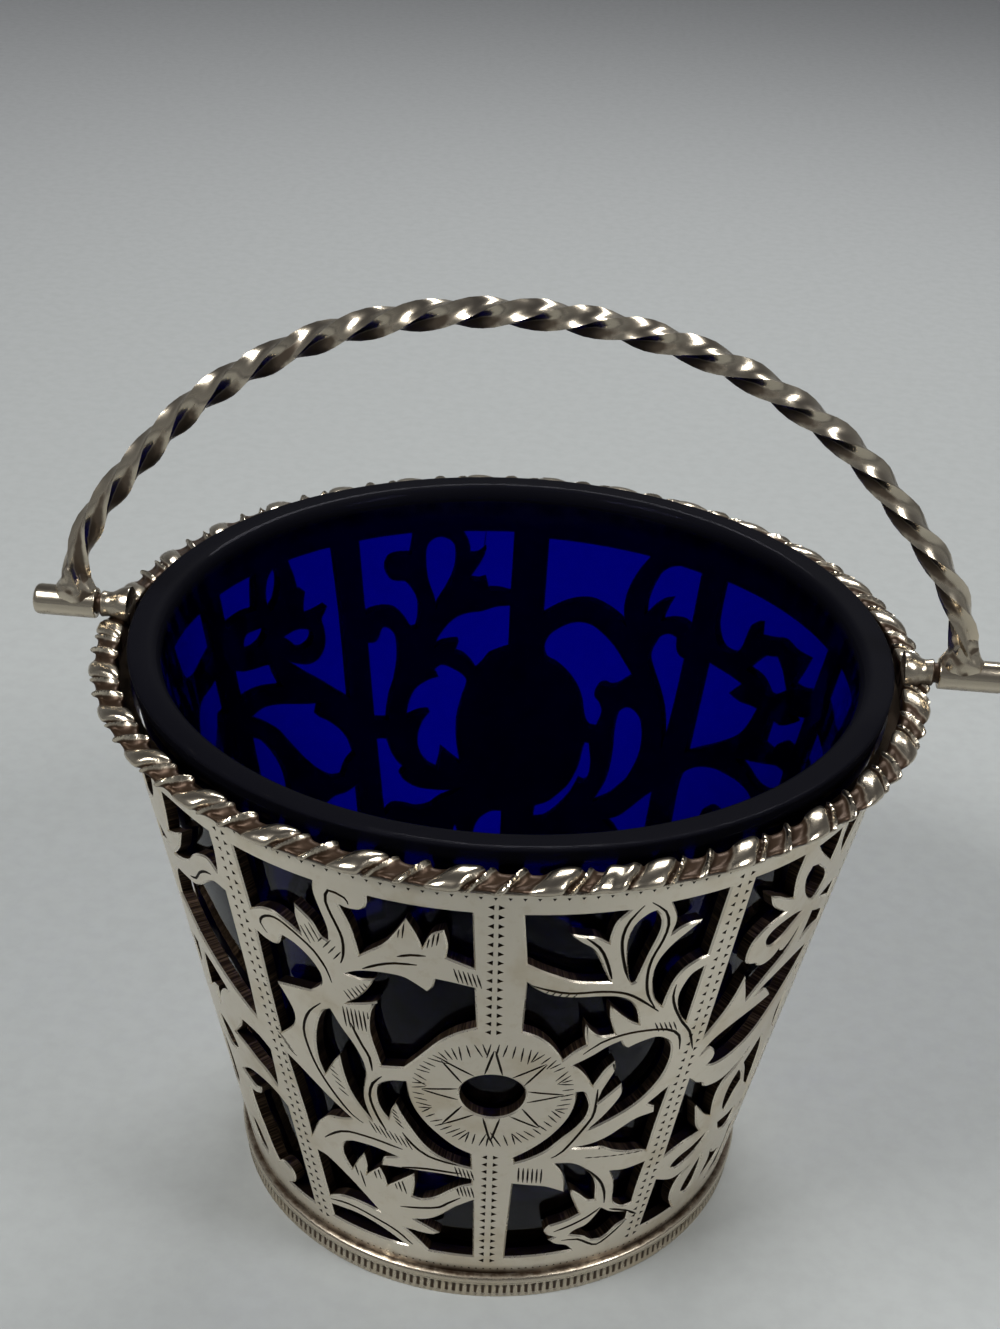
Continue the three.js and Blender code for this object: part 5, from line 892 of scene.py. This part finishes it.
def isIn(outline, angle, height):  # whether a place of the wall lies in an outline
    inside = False
    for i, (a, b) in enumerate(zip(outline, outline[1:] + outline[:1])):
        if (a[1] > height) != (b[1] > height):
            if angle < a[0] + (b[0] - a[0]) * (height - a[1]) / (b[1] - a[1]):
                inside = not inside
    return inside


def shadeAsCone(wall):  # flat facets shade as one rolled sheet; faces turned straight up or down, its top and foot and the level edges of the windows, take the engraved finish
    mesh = wall.data
    lean = sqrt(1 + wallSlope**2)
    normals = [Vector()] * len(mesh.loops)
    for face in mesh.polygons:
        centre = face.center / mm
        out = Vector((centre.x, centre.y, -wallSlope * hypot(centre.x, centre.y))).normalized()
        way = face.normal.dot(out)
        if abs(face.normal.z) > 0.95:
            face.material_index = 2
        if abs(way) < 0.995:
            continue
        for loop in face.loop_indices:
            place = mesh.vertices[mesh.loops[loop].vertex_index].co
            across = Vector((place.x, place.y)).normalized() / lean
            normals[loop] = Vector((across.x, across.y, -wallSlope / lean)) * (1 if way > 0 else -1)
    mesh.normals_split_custom_set(normals)


def makeWall():
    middle = (pail['foot'] + pail['top']) / 2
    wall = added('wallOfPiercedSheet', bpy.ops.mesh.primitive_cone_add, vertices=pail['sides'],
                 radius1=pail['footRadius'] * mm, radius2=pail['topRadius'] * mm,
                 depth=(pail['top'] - pail['foot']) * mm, end_fill_type='NOTHING',
                 location=(0, 0, middle * mm))
    for material in (sheetSilver, sawnSilver, engravedSilver, filedSilver):
        wall.data.materials.append(material)
    applied(wall, 'SOLIDIFY', thickness=pail['sheet'] * mm, offset=-1, use_even_offset=True)
    sides = sidePanel + toOtherSide(sidePanel)
    outlines = leafPanel + flamePanel + ribbonPanel + bowPanel + sides
    outlines += atBack(backBowPanel + backTearPanel + backScrollPanel + backFlowerPanel + sides)
    angle, height = medallion['place']
    reach = degrees(medallion['hole'] / wallRadius(height))
    outlines.append([[angle + reach * cos(radians(t)), height + medallion['hole'] * sin(radians(t))]
                     for t in range(0, 360, 20)])
    cutAway(wall, [windowCutter(outline) for outline in outlines])
    print('wall: windows sawn', len(wall.data.polygons))
    cutAway(wall, [lineCutter(line) for line in flameLines + ribbonLines + atBack(backLines)])
    rays, cuts = medallionLines()
    fine = hatchLines(hatching) + cuts + cartoucheLines() + atBack(hatchLines(backHatching))
    fineCutters = [lineCutter(line, 0.62, 0.4) for line in fine]
    cutAway(wall, fineCutters + [lineCutter(ray, 0.75, 0.3) for ray in rays])

    def isSilver(angle, height):  # clear of the windows, whichever way round the angle is counted
        return not any(isIn([p[:2] for p in outline], angle + turn, height)
                       for outline in outlines for turn in (-360, 0, 360))
    cutAway(wall, [pitCutter(*pit) for pit in strapPits() if isSilver(*pit[:2])])
    print('wall: engraved', len(wall.data.polygons))
    shadeByAngle(wall, pail['creaseAngle'])
    shadeAsCone(wall)
    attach(wall, 'basket_body')
    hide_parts('pierced_wall')


# The border of slanting gadroons

gadroon = {
    'middle': [38.55, 58.4],  # radius and height of the middle of its section
    'periods': 30,
    'across': 60,  # rings of vertices in one period
    'depth': 0.86,
    'slant': 2.0,
    'phase': -8,
    'wander': 0.1,  # how unlike each other the lobes are
    'castSkin': [0.03, 0.9],  # depth and scale of the uneven casting
    'seam': [13.9, 18.7],
    'section': [[37.6, 57.0, 0.1], [38.6, 57.75, 0.3], [39.5, 58.3, 0.3], [40, 58.8, 0.35],
                [39.65, 59.32, 0.35], [38.7, 59.76, 0.5], [37.7, 59.8, 0.5], [37.12, 59.55, 0.2],
                [37.1, 57.8, 0.1], [37.6, 57.8, 0]],
    'lobed': [(-180, 0), (-124, 0), (-75, 0.2), (-25, 0.45), (5, 0.6), (50, 1), (112, 1), (141, 0.8),
              (165, 0.2), (180, 0)],  # how deep the valleys are round the section
}
# Height across one period: a thin ridge, a valley, a broad lobe, a second ridge and a scoop
lobeShape = [(0, 1), (.022, .85), (.04, .25), (.07, .05), (.14, .02), (.2, .1), (.25, .4), (.3, .7),
             (.38, .93), (.46, 1), (.53, .95), (.575, .8), (.6, .3), (.625, .05), (.65, .3), (.668, .84),
             (.688, .86), (.71, .45), (.755, .16), (.83, .08), (.9, .14), (.945, .4), (.97, .86), (1, 1)]
seamShape = [(0, 0), (.06, .7), (.2, .95), (.4, .8), (.5, .72), (.6, .8), (.8, 1), (.94, .7), (1, 0)]


def along(keys, share):
    for (a, low), (b, high) in zip(keys, keys[1:]):
        if share <= b:
            return low + (high - low) * (share - a) / (b - a)
    return keys[-1][1]


def makeGadroons():
    steps = gadroon['periods'] * gadroon['across']
    border = spun('borderOfGadroons', rounded(gadroon['section'], 0.2, 3), steps=steps)
    recess = []
    midRadius, midHeight = gadroon['middle']
    skin, skinScale = gadroon['castSkin']

    def place(x, y, z):
        away = Vector((hypot(x, y) - midRadius, z - midHeight))
        roundSection = degrees(atan2(away.y, away.x))
        angle = degrees(atan2(x, -y))
        here = angle - gadroon['slant'] * roundSection / 90
        start, end = gadroon['seam']
        turn = (here - gadroon['phase']) * gadroon['periods'] / 360
        number = floor(turn)
        wander = noise.noise(Vector((number * 3.7, 1.3, 0)))
        if start < here < end:
            height = along(seamShape, (here - start) / (end - start))
        else:
            height = along(lobeShape, turn - number)
            height *= 1 + gadroon['wander'] * wander
        valley = along(gadroon['lobed'], roundSection)
        sink = gadroon['depth'] * max(0, 1 - height) * valley
        sink += skin * max(0, noise.noise(Vector((x, y, z)) * skinScale))
        away -= away.normalized() * sink
        radius = midRadius + away.x
        # tarnishing in the valleys, and painted shade on the border's underside and inner side
        paintedShadeBelowAndInside = 0.3 * (roundSection < -20) + 0.9 * (abs(roundSection) > 140)
        recess.append(min(1, max(0, (1 - height) * min(1.15, 2 * valley) + paintedShadeBelowAndInside)))
        return radius * sin(radians(angle)), -radius * cos(radians(angle)), midHeight + away.y
    moveEach(border, place)
    setTarnishAndShade(border, recess)
    shadeByAngle(border, 42)
    border.data.materials.append(castSilver)
    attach(border, 'basket_body')
    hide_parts('gadroon_rim')
    print('gadroon border', len(border.data.polygons))


# The foot: a fluted band under a plain bead

foot = {
    'radius': 26.6,
    'innerRadius': 23.4,
    'height': 1.8,
    'flutes': 230,
    'fluteDepth': 0.32,
    'beadRadius': 26.9,
    'beadInner': 25.0,
    'beadTop': 2.8,
}


def makeFoot():
    inner, outer, height = foot['innerRadius'], foot['radius'], foot['height']
    band = spun('milledBand', rounded([[inner, 0], [outer, 0, 0.12], [outer, 0.2, 0], [outer, 0.35, 0],
                                       [outer, height - 0.35, 0], [outer, height - 0.2, 0],
                                       [outer, height, 0.12], [inner, height]], 0.1, 2),
                steps=foot['flutes'] * 4)
    recess = []

    def flute(x, y, z):
        radius = hypot(x, y)
        turn = atan2(x, -y)
        sink = 0
        if radius > outer - 0.05 and 0.3 < z < height - 0.3:
            sink = (0.5 + 0.5 * cos(turn * foot['flutes']))
        recess.append(sink)
        radius -= foot['fluteDepth'] * sink
        return radius * sin(turn), -radius * cos(turn), z
    moveEach(band, flute)
    setTarnishAndShade(band, recess)
    shadeByAngle(band, 60)
    band.data.materials.append(milledSilver)
    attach(band, 'basket_body')
    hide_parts('milled_foot_band')
    middle = (height + foot['beadTop']) / 2
    half = (foot['beadTop'] - height) / 2
    arc = [[foot['beadRadius'] - half + half * cos(radians(t)), middle + half * sin(radians(t))]
           for t in range(-90, 91, 15)]
    bead = spun('footBead', [[foot['beadInner'], height]] + arc + [[foot['beadInner'], foot['beadTop']]],
                steps=240)
    shadeByAngle(bead, 40)
    bead.data.materials.append(castSilver)
    # darker towards the bead's top and bottom edges, where it meets the wall and the band
    setTarnishAndShade(bead, [0.1 + 1.1 * abs(v.co.z / mm - middle) for v in bead.data.vertices])
    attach(bead, 'basket_body')
    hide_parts('foot_bead')
    print('foot')


# The liner of cobalt glass

liner = {'bottom': 2.9, 'top': 60.6, 'gap': 1.55, 'wall': 2.9, 'floor': 4.0}


def makeLiner():
    low, top, wall = liner['bottom'], liner['top'], liner['wall']

    def outer(height):
        return wallRadius(height) - liner['gap']
    inside = low + liner['floor']
    profile = [[0, low, 0], [outer(low) - 1, low, 1.2], [outer(low + 1.1), low + 1.1, 0.9],
               [outer(top), top, 0.35], [outer(top) - wall, top, 1.2],
               [outer(inside + 4) - wall, inside + 4, 3], [outer(inside) - wall - 1.6, inside, 3],
               [0, inside, 0]]
    glass = spun('cobaltLiner', rounded(profile, 0.5, 5), steps=256, closed=False)
    shadeByAngle(glass, 35)
    glass.data.materials.append(cobaltGlass)
    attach(glass, 'liner_body')
    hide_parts('glass_liner')
    print('liner')


# The swing handle, its sleeves and the lugs that carry them

handle = {
    'pivot': 60.0,
    'rise': 32.4,
    'footOut': 42.6,
    'diagonal': 2.9,
    'turns': 5.76,
    'turnStart': 41,
    'hollow': 0.1,
    'steps': 520,
    'arch': [[1, 0.03], [0.985, 0.17], [0.934, 0.31], [0.826, 0.496], [0.686, 0.69], [0.444, 0.884],
             [0.22, 0.973]],
    'cornerSpacing': 1.6,  # above 1, the columns of the bar crowd to its corners
    'solder': [[0, -0.3], [1.5, -0.3], [1.7, 0.6], [1.62, 1.3], [1.35, 1.9], [1.2, 2.7], [1.05, 3.6],
               [0, 4.1]],
    'sleeveRadius': 1.5,
    'sleeveBore': 1.05,
    'sleeveCap': 0.8,
    'sleeveStart': 40.5,
    'sleeveEnd': 46.6,
    'pinRadius': 0.95,
}


def archPoints(count):  # places evenly along the arch, right foot to left foot, with their headings
    half = [Vector((across * handle['footOut'], 0, handle['pivot'] + rise * handle['rise']))
            for across, rise in handle['arch']]
    other = [Vector((-p.x, 0, p.z)) for p in reversed(half)]
    points = half + [Vector((0, 0, handle['pivot'] + handle['rise']))] + other
    points = [2 * points[0] - points[1]] + points + [2 * points[-1] - points[-2]]
    fine = []
    for i in range(1, len(points) - 2):
        p0, p1, p2, p3 = points[i - 1:i + 3]
        t1 = sqrt((p1 - p0).length)
        t2 = t1 + sqrt((p2 - p1).length)
        t3 = t2 + sqrt((p3 - p2).length)
        for k in range(60 + (i == len(points) - 3)):
            t = t1 + (t2 - t1) * k / 60
            a1 = (t1 - t) / t1 * p0 + t / t1 * p1
            a2 = (t2 - t) / (t2 - t1) * p1 + (t - t1) / (t2 - t1) * p2
            a3 = (t3 - t) / (t3 - t2) * p2 + (t - t2) / (t3 - t2) * p3
            b1 = (t2 - t) / t2 * a1 + t / t2 * a2
            b2 = (t3 - t) / (t3 - t1) * a2 + (t - t1) / (t3 - t1) * a3
            fine.append((t2 - t) / (t2 - t1) * b1 + (t - t1) / (t2 - t1) * b2)
    lengths = [0]
    for a, b in zip(fine, fine[1:]):
        lengths.append(lengths[-1] + (b - a).length)
    made = []
    j = 0
    for i in range(count + 1):
        want = lengths[-1] * i / count
        while j < len(fine) - 2 and lengths[j + 1] < want:
            j += 1
        t = (want - lengths[j]) / (lengths[j + 1] - lengths[j])
        made.append((fine[j].lerp(fine[j + 1], t), (fine[j + 1] - fine[j]).normalized()))
    return made


def makeBail():
    # A square bar, its faces a little hollow, is laid along the arch with its twist
    bar = added('twistedBail', bpy.ops.mesh.primitive_cylinder_add, vertices=24, radius=mm, depth=mm,
                end_fill_type='NGON')
    editMesh(bar, everything=False)
    bpy.ops.mesh.select_mode(type='EDGE')
    bpy.ops.object.mode_set(mode='OBJECT')
    for edge in bar.data.edges:
        a, b = (bar.data.vertices[v].co for v in edge.vertices)
        edge.select = abs(a.z - b.z) > 0.5 * mm
    bpy.ops.object.mode_set(mode='EDIT')
    bpy.ops.mesh.subdivide(number_cuts=handle['steps'] - 1)
    bpy.ops.mesh.select_mode(type='VERT')
    bpy.ops.object.mode_set(mode='OBJECT')
    arch = archPoints(handle['steps'])
    tarnishAndUnderShade = []
    side = Vector((0, 1, 0))

    def place(x, y, z):
        share = z + 0.5
        middle, heading = arch[min(handle['steps'], round(share * handle['steps']))]
        roundBar = atan2(y, x)
        inFace = (roundBar % (pi / 2)) - pi / 4  # 0 in the middle of a face, a corner at both ends
        nearCorner = abs(inFace) / (pi / 4)
        spaced = (pi / 4) * (1 - (1 - nearCorner) ** handle['cornerSpacing']) * (1 if inFace > 0 else -1)
        radius = handle['diagonal'] / 2 * cos(pi / 4) / cos(spaced)
        radius *= 1 - handle['hollow'] * cos(2 * spaced) ** 2
        if nearCorner > 0.99:
            radius *= 0.985
        varied = 0.02 * noise.noise(Vector((share * 60, roundBar, 4.2)))
        radius *= 1 + varied
        turn = radians(handle['turnStart'] + share * handle['turns'] * 360)
        face = roundBar - inFace + spaced + turn
        across = heading.cross(side)
        out = across * cos(face) + side * sin(face)
        # tarnishing in patches on the hollow faces, with painted shade: faces turned down darker, faces
        # turned up lighter
        stain = 0.68 + 0.5 * noise.noise(Vector((share * 14, 0.5, 7.1)))
        tarnishAndUnderShade.append(max(0, cos(2 * spaced) * stain - 0.7 * out.z))
        return middle + out * radius
    moveEach(bar, place)
    setTarnishAndShade(bar, tarnishAndUnderShade)
    feet = []
    for way in (1, -1):
        solder = spun('solderFoot', handle['solder'], steps=40, closed=False)

        def spreadFoot(x, y, z):
            low = max(0, 1 - z / 3)
            lump = 0.16 * noise.noise(Vector((x, y, z)) * 1.3 + Vector((way * 5, 0, 0)))
            x *= 1 + 0.45 * low + lump
            y *= 0.98 - 0.12 * low + lump
            lean = 0.03 * z
            return way * (handle['footOut'] - lean) + x, y, handle['pivot'] + 0.35 + z * (1 + lump)
        moveEach(solder, spreadFoot)
        applied(solder, 'SUBSURF', levels=1, render_levels=1)
        moveEach(solder, lambda x, y, z: Vector((x, y, z)) + 0.05 * noise.noise_vector(
            Vector((x, y, z)) * 2.6))
        setTarnishAndShade(solder, [0.35 + 0.9 * noise.noise(v.co / mm * 1.1) for v in solder.data.vertices])
        feet.append(solder)
    pick(bar)
    for solder in feet:
        solder.select_set(True)
    bpy.ops.object.join()
    shadeByAngle(bar, 34)
    bar.data.materials.clear()
    bar.data.materials.append(wireSilver)
    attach(bar, 'handle_body')
    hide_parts('twisted_bail')
    print('bail', len(bar.data.polygons))


def makePivots():
    start, end, radius = handle['sleeveStart'], handle['sleeveEnd'], handle['sleeveRadius']
    pivot = handle['pivot']
    bore, cap = handle['sleeveBore'], end - handle['sleeveCap']
    sleeveLine = rounded([[0, cap, 0], [bore, cap, 0], [bore, start, 0.1], [radius, start, 0.14],
                          [radius, end, 0.55], [0, end, 0]], 0.1, 4)
    pin = handle['pinRadius']
    lugLine = rounded([[0, 37.2, 0], [1.9, 37.2, 0.1], [1.75, 38.1, 0.5], [1.15, 39.1, 0.6],
                       [1.3, 40.0, 0.15], [pin, 40.1, 0], [pin, 45.2, 0.1], [0, 45.2, 0]], 0.1, 4)
    for side, way in (('right', 1), ('left', -1)):
        for kind, line, body, node, look, slot in (
                ('Sleeve', sleeveLine, 'handle_body', 'sleeve', wireSilver, 'silver_wire'),
                ('Lug', lugLine, 'basket_body', 'lug', castSilver, 'silver_cast')):
            piece = spun(side + kind, line, axis='X', steps=48, closed=False)

            def place(x, y, z):
                dent = 0.02 * noise.noise(Vector((x, y, z)) * 1.4 + Vector((way * 3, 0, 0)))
                return way * x, way * y * (1 + dent), pivot + z * (1 + dent)
            moveEach(piece, place)
            tidyShell(piece)
            shadeByAngle(piece, 38)
            # painted shade over even tarnishing: darker towards the underside, and on the lug where its
            # pin goes into the sleeve
            varied = [0.5 - 0.25 * (v.co.z / mm - pivot) + 0.5 * (abs(v.co.x / mm) > 39.9) if kind == 'Lug'
                    else 0.3 - 0.2 * (v.co.z / mm - pivot) for v in piece.data.vertices]
            setTarnishAndShade(piece, varied)
            piece.data.materials.append(look)
            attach(piece, body)
            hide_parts(side + '_' + node)
    print('pivots')


# Finishes

silverLook = {
    'sheen': colour(226, 217, 200),
    'warm': colour(204, 189, 162),
    # brown of tarnishing, and of painted shade on undersides and in crevices
    'tarnishAndShadeBrown': colour(56, 40, 26),
    'engraved': colour(40, 31, 22),
    'cast': colour(200, 189, 170),
    'sawn': colour(128, 106, 82),
    'sawnDark': colour(44, 34, 26),
    'glass': colour(110, 120, 250),
    'glassSheen': colour(90, 90, 130),
    'ground': colour(8, 8, 14),
}
silverGrain = {
    'cloud': 130,
    'fine': 900,
    'scratch': 5200,
    'alongScratch': 0.22,
    'saw': 170,
    'dent': 0.1,
    'dentDepth': 0.0002,
    'scratchDepth': 0.00004,
    'underBorder': (55.6, 57.4),  # heights between which the brown sets in
    'overFoot': (2.8, 4.3),  # heights between which it leaves off
}
glassLook = {
    'ior': 1.36,
    'absorbed': (0.0, 0.0, 0.82, 1),
    'density': 2200.0,
    'ripple': 90,
    'seeds': 1500,
    'grain': 2600,
    'groundRim': [1.9, 0.9],  # depths under the top between which the rim turns dull
}


def silverMaterial(name, low, high, tarnishAndShadeWeight=0.0, scratches=1.0, base='sheen', grime=0.3,
                   sawn=False, brownNearJoints=0.0):
    # Worn silver: cloudy warmth, fine scratches, and brown tarnishing with painted shade where the
    # piece's vertex attribute says
    material, wire = newMaterial(name)
    place = wire.node('ShaderNodeTexCoord', output=3)
    cloud = wire.noise(place, silverGrain['cloud'], 4, 0.6)
    fine = wire.noise(place, silverGrain['fine'], 3, 0.65)
    stretched = wire.node('ShaderNodeMapping', {},
                          {'Vector': place, 'Scale': (1, 1, silverGrain['alongScratch'])})
    scratch = wire.noise(stretched, silverGrain['scratch'], 2, 0.7)
    stain = (cloud.between(0.5, 0.68) * grime + (fine.between(0.55, 0.7) * grime * 0.5)).clamped()
    look = stain.blended(silverLook[base], silverLook['warm'])
    if brownNearJoints:  # brown in patches under the border and above the foot
        height = wire.node('ShaderNodeSeparateXYZ', {}, {0: place}, 2)
        upper = height.between(*(v * mm for v in silverGrain['underBorder']))
        lower = height.between(*(v * mm for v in silverGrain['overFoot']))
        corners = upper * 0.7 + (1 - lower)
        patchy = (corners * cloud.between(0.3, 0.6) * brownNearJoints).clamped()
        look = patchy.blended(look, silverLook['tarnishAndShadeBrown'])
    if sawn:
        parts = wire.node('ShaderNodeSeparateXYZ', {}, {0: place})
        x, y, z = (Wire(wire.tree, parts.socket.node.outputs[i]) for i in range(3))
        radius = (x * x + y * y) ** 0.5
        roundWall = wire.node('ShaderNodeCombineXYZ', {}, {0: x / radius, 1: y / radius, 2: z * 31.0})
        cut = wire.noise(roundWall, silverGrain['saw'], 4, 0.75).between(0.42, 0.75)
        look = cut.blended(silverLook['sawnDark'], silverLook['sawn'])
    metal = 1.0
    if tarnishAndShadeWeight:  # tarnishing and painted shade, taken as a crust on the silver, so less of a mirror
        depth = wire.node('ShaderNodeAttribute', {'attribute_name': 'recess'}, output=2)
        tarnishAndShadeMask = ((depth + fine * 0.4 - 0.2).between(0.36, 0.72) * tarnishAndShadeWeight).clamped()
        look = tarnishAndShadeMask.blended(look, silverLook['tarnishAndShadeBrown'])
        rough = low + (high - low) * cloud + tarnishAndShadeMask * 0.2
        metal = 1 - tarnishAndShadeMask * 0.35
    else:
        rough = (high - low) * cloud + low
    rough = rough + fine * 0.06
    dents = wire.bump(cloud, silverGrain['dent'], silverGrain['dentDepth'])
    normal = wire.bump(scratch * 0.6 + fine * 0.4, 0.22 * scratches, silverGrain['scratchDepth'], dents)
    shader = wire.node('ShaderNodeBsdfPrincipled', {}, {
        'Base Color': look, 'Metallic': metal, 'Roughness': rough, 'Normal': normal})
    wire.node('ShaderNodeOutputMaterial', {}, {'Surface': shader})
    return material


def glassMaterial():
    # The blue is in the depth of the glass; its rim is ground dull
    material, wire = newMaterial('cobaltGlass')
    place = wire.node('ShaderNodeTexCoord', output=3)
    height = wire.node('ShaderNodeSeparateXYZ', {}, {0: place}, 2)
    ripple = wire.noise(place, glassLook['ripple'], 2, 0.5)
    seeds = wire.noise(place, glassLook['seeds'], 2, 0.5)
    grain = wire.noise(place, glassLook['grain'], 3, 0.6)
    rough = seeds.between(0.62, 0.8) * 0.1 + 0.03
    clear = wire.node('ShaderNodeBsdfPrincipled', {}, {
        'Base Color': silverLook['glass'], 'Metallic': 0.0, 'Roughness': rough, 'IOR': glassLook['ior'],
        'Specular Tint': silverLook['glassSheen'], 'Transmission Weight': 1.0,
        'Normal': wire.bump(ripple, 0.2, 0.0004)})
    dull = wire.node('ShaderNodeBsdfPrincipled', {}, {
        'Base Color': silverLook['ground'], 'Metallic': 0.0, 'Roughness': 0.6,
        'Specular IOR Level': 0.02, 'Normal': wire.bump(grain, 0.3, 0.00004)})
    below, above = ((liner['top'] - depth) * mm for depth in glassLook['groundRim'])
    ground = height.between(below, above)
    surface = wire.node('ShaderNodeMixShader', {}, {'Fac': ground * 0.93, 1: clear, 2: dull})
    depth = wire.node('ShaderNodeVolumeAbsorption', {}, {
        'Color': glassLook['absorbed'], 'Density': glassLook['density']})
    wire.node('ShaderNodeOutputMaterial', {}, {'Surface': surface, 'Volume': depth})
    return material


sheetSilver = silverMaterial('wornSheetSilver', 0.24, 0.42, grime=0.5, brownNearJoints=1.0)
sawnSilver = silverMaterial('sawnEdgeSilver', 0.5, 0.65, scratches=2.5, sawn=True)
engravedSilver = silverMaterial('engravedSilver', 0.45, 0.6, base='engraved', grime=0.0)
filedSilver = silverMaterial('filedEdgeSilver', 0.18, 0.3)
castSilver = silverMaterial('castSilver', 0.13, 0.24, tarnishAndShadeWeight=1.0, base='cast')
wireSilver = silverMaterial('twistedWireSilver', 0.12, 0.24, tarnishAndShadeWeight=0.9, base='cast')
milledSilver = silverMaterial('milledBandSilver', 0.18, 0.3, tarnishAndShadeWeight=0.95, base='cast', grime=0.5)
cobaltGlass = glassMaterial()
print('finishes')

makeWall()
makeGadroons()
makeFoot()
makeLiner()
makeBail()
makePivots()

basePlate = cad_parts['base_plate']
basePlate.data.materials.clear()
basePlate.data.materials.append(sheetSilver)

# Floor, light and camera

studio = {
    'floor': colour(160, 163, 162),
    # lighter further off, painted light, and darker in front of the pail, a painted shadow
    'farFloorPaintedLight': colour(214, 216, 218),
    'nearFloorPaintedShadow': colour(138, 141, 140),
    'speck': colour(120, 122, 120),
    'speckScale': 420,
    'aim': (0, 0, 35),
    'lights': [  # place in mm, size in mm, watts
        [(-240, -200, 430), (190, 120), 2.0],
        [(300, -160, 380), (100, 200), 1.3],
        [(40, 330, 420), (260, 90), 1.5],
    ],
    'sky': [(0.0, (0.24, 0.245, 0.25)), (0.2, (0.17, 0.175, 0.18)), (0.6, (0.08, 0.08, 0.085)),
            (1.0, (0.05, 0.05, 0.055))],
    'eye': (11.70, -164.59, 150.12),
    'yaw': 0.0770,
    'pitch': 0.5140,
    'roll': 0.0461,
    'focal': 1959.95,  # in pixels of the picture, as its height is
    'pictureHeight': 1329,
    'sensor': 36,
    'clip': (0.005, 20),
}


def makeFloor():
    ground = added('floor', bpy.ops.mesh.primitive_grid_add, size=6, x_subdivisions=4, y_subdivisions=4)
    material, wire = newMaterial('paleTable')
    place = wire.node('ShaderNodeTexCoord', output=3)
    speck = wire.noise(place, studio['speckScale'], 3, 0.6).between(0.3, 0.75)
    away = wire.node('ShaderNodeVectorMath', {'operation': 'LENGTH'}, {0: place}, 1)
    # painted shadow on the floor in front of the pail, and painted light further off
    paintedShadowInFront = wire.node('ShaderNodeSeparateXYZ', {}, {0: place}, 1).between(-0.11, 0.0)
    shade = paintedShadowInFront.blended(studio['nearFloorPaintedShadow'], studio['floor'])
    shade = (away.between(0.1, 0.9)).blended(shade, studio['farFloorPaintedLight'])
    shade = (speck * 0.12).blended(shade, studio['speck'])
    shader = wire.node('ShaderNodeBsdfPrincipled', {}, {
        'Base Color': shade, 'Roughness': 0.55, 'Specular IOR Level': 0.2})
    wire.node('ShaderNodeOutputMaterial', {}, {'Surface': shader})
    ground.data.materials.append(material)


def makeLight():
    for i, (spot, size, watts) in enumerate(studio['lights']):
        data = bpy.data.lights.new('softLight%d' % i, 'AREA')
        data.shape = 'RECTANGLE'
        data.size, data.size_y = (v * mm for v in size)
        data.energy = watts
        light = bpy.data.objects.new(data.name, data)
        bpy.context.collection.objects.link(light)
        light.location = Vector(spot) * mm
        way = Vector(studio['aim']) - Vector(spot)
        light.rotation_euler = way.to_track_quat('-Z', 'Y').to_euler()
    world = bpy.data.worlds.new('studio')
    bpy.context.scene.world = world
    world.use_nodes = True
    world.node_tree.nodes.clear()
    wire = Wire(world.node_tree)
    way = wire.node('ShaderNodeTexCoord', output=0)
    up = wire.node('ShaderNodeSeparateXYZ', {}, {0: way}, 2)
    sky = wire.node('ShaderNodeValToRGB', {'stops': studio['sky']}, {'Fac': up})
    back = wire.node('ShaderNodeBackground', {}, {'Color': sky, 'Strength': 1.0})
    wire.node('ShaderNodeOutputWorld', {}, {'Surface': back})


def makeCamera():
    yaw, pitch, roll = studio['yaw'], studio['pitch'], studio['roll']
    forward = Vector((-sin(yaw) * cos(pitch), cos(yaw) * cos(pitch), -sin(pitch)))
    right = Vector((cos(yaw), sin(yaw), 0))
    up = right.cross(forward)
    across = cos(roll) * right + sin(roll) * up
    upright = -sin(roll) * right + cos(roll) * up
    data = bpy.data.cameras.new('camera')
    data.sensor_fit = 'VERTICAL'
    data.sensor_height = studio['sensor']
    data.lens = studio['sensor'] * studio['focal'] / studio['pictureHeight']
    data.clip_start, data.clip_end = studio['clip']
    camera = bpy.data.objects.new('camera', data)
    bpy.context.collection.objects.link(camera)
    turn = Matrix((across, upright, -forward)).transposed().to_4x4()
    camera.matrix_world = Matrix.Translation(Vector(studio['eye']) * mm) @ turn
    bpy.context.scene.camera = camera


makeFloor()
makeLight()
makeCamera()
bpy.context.scene.view_settings.view_transform = 'Standard'
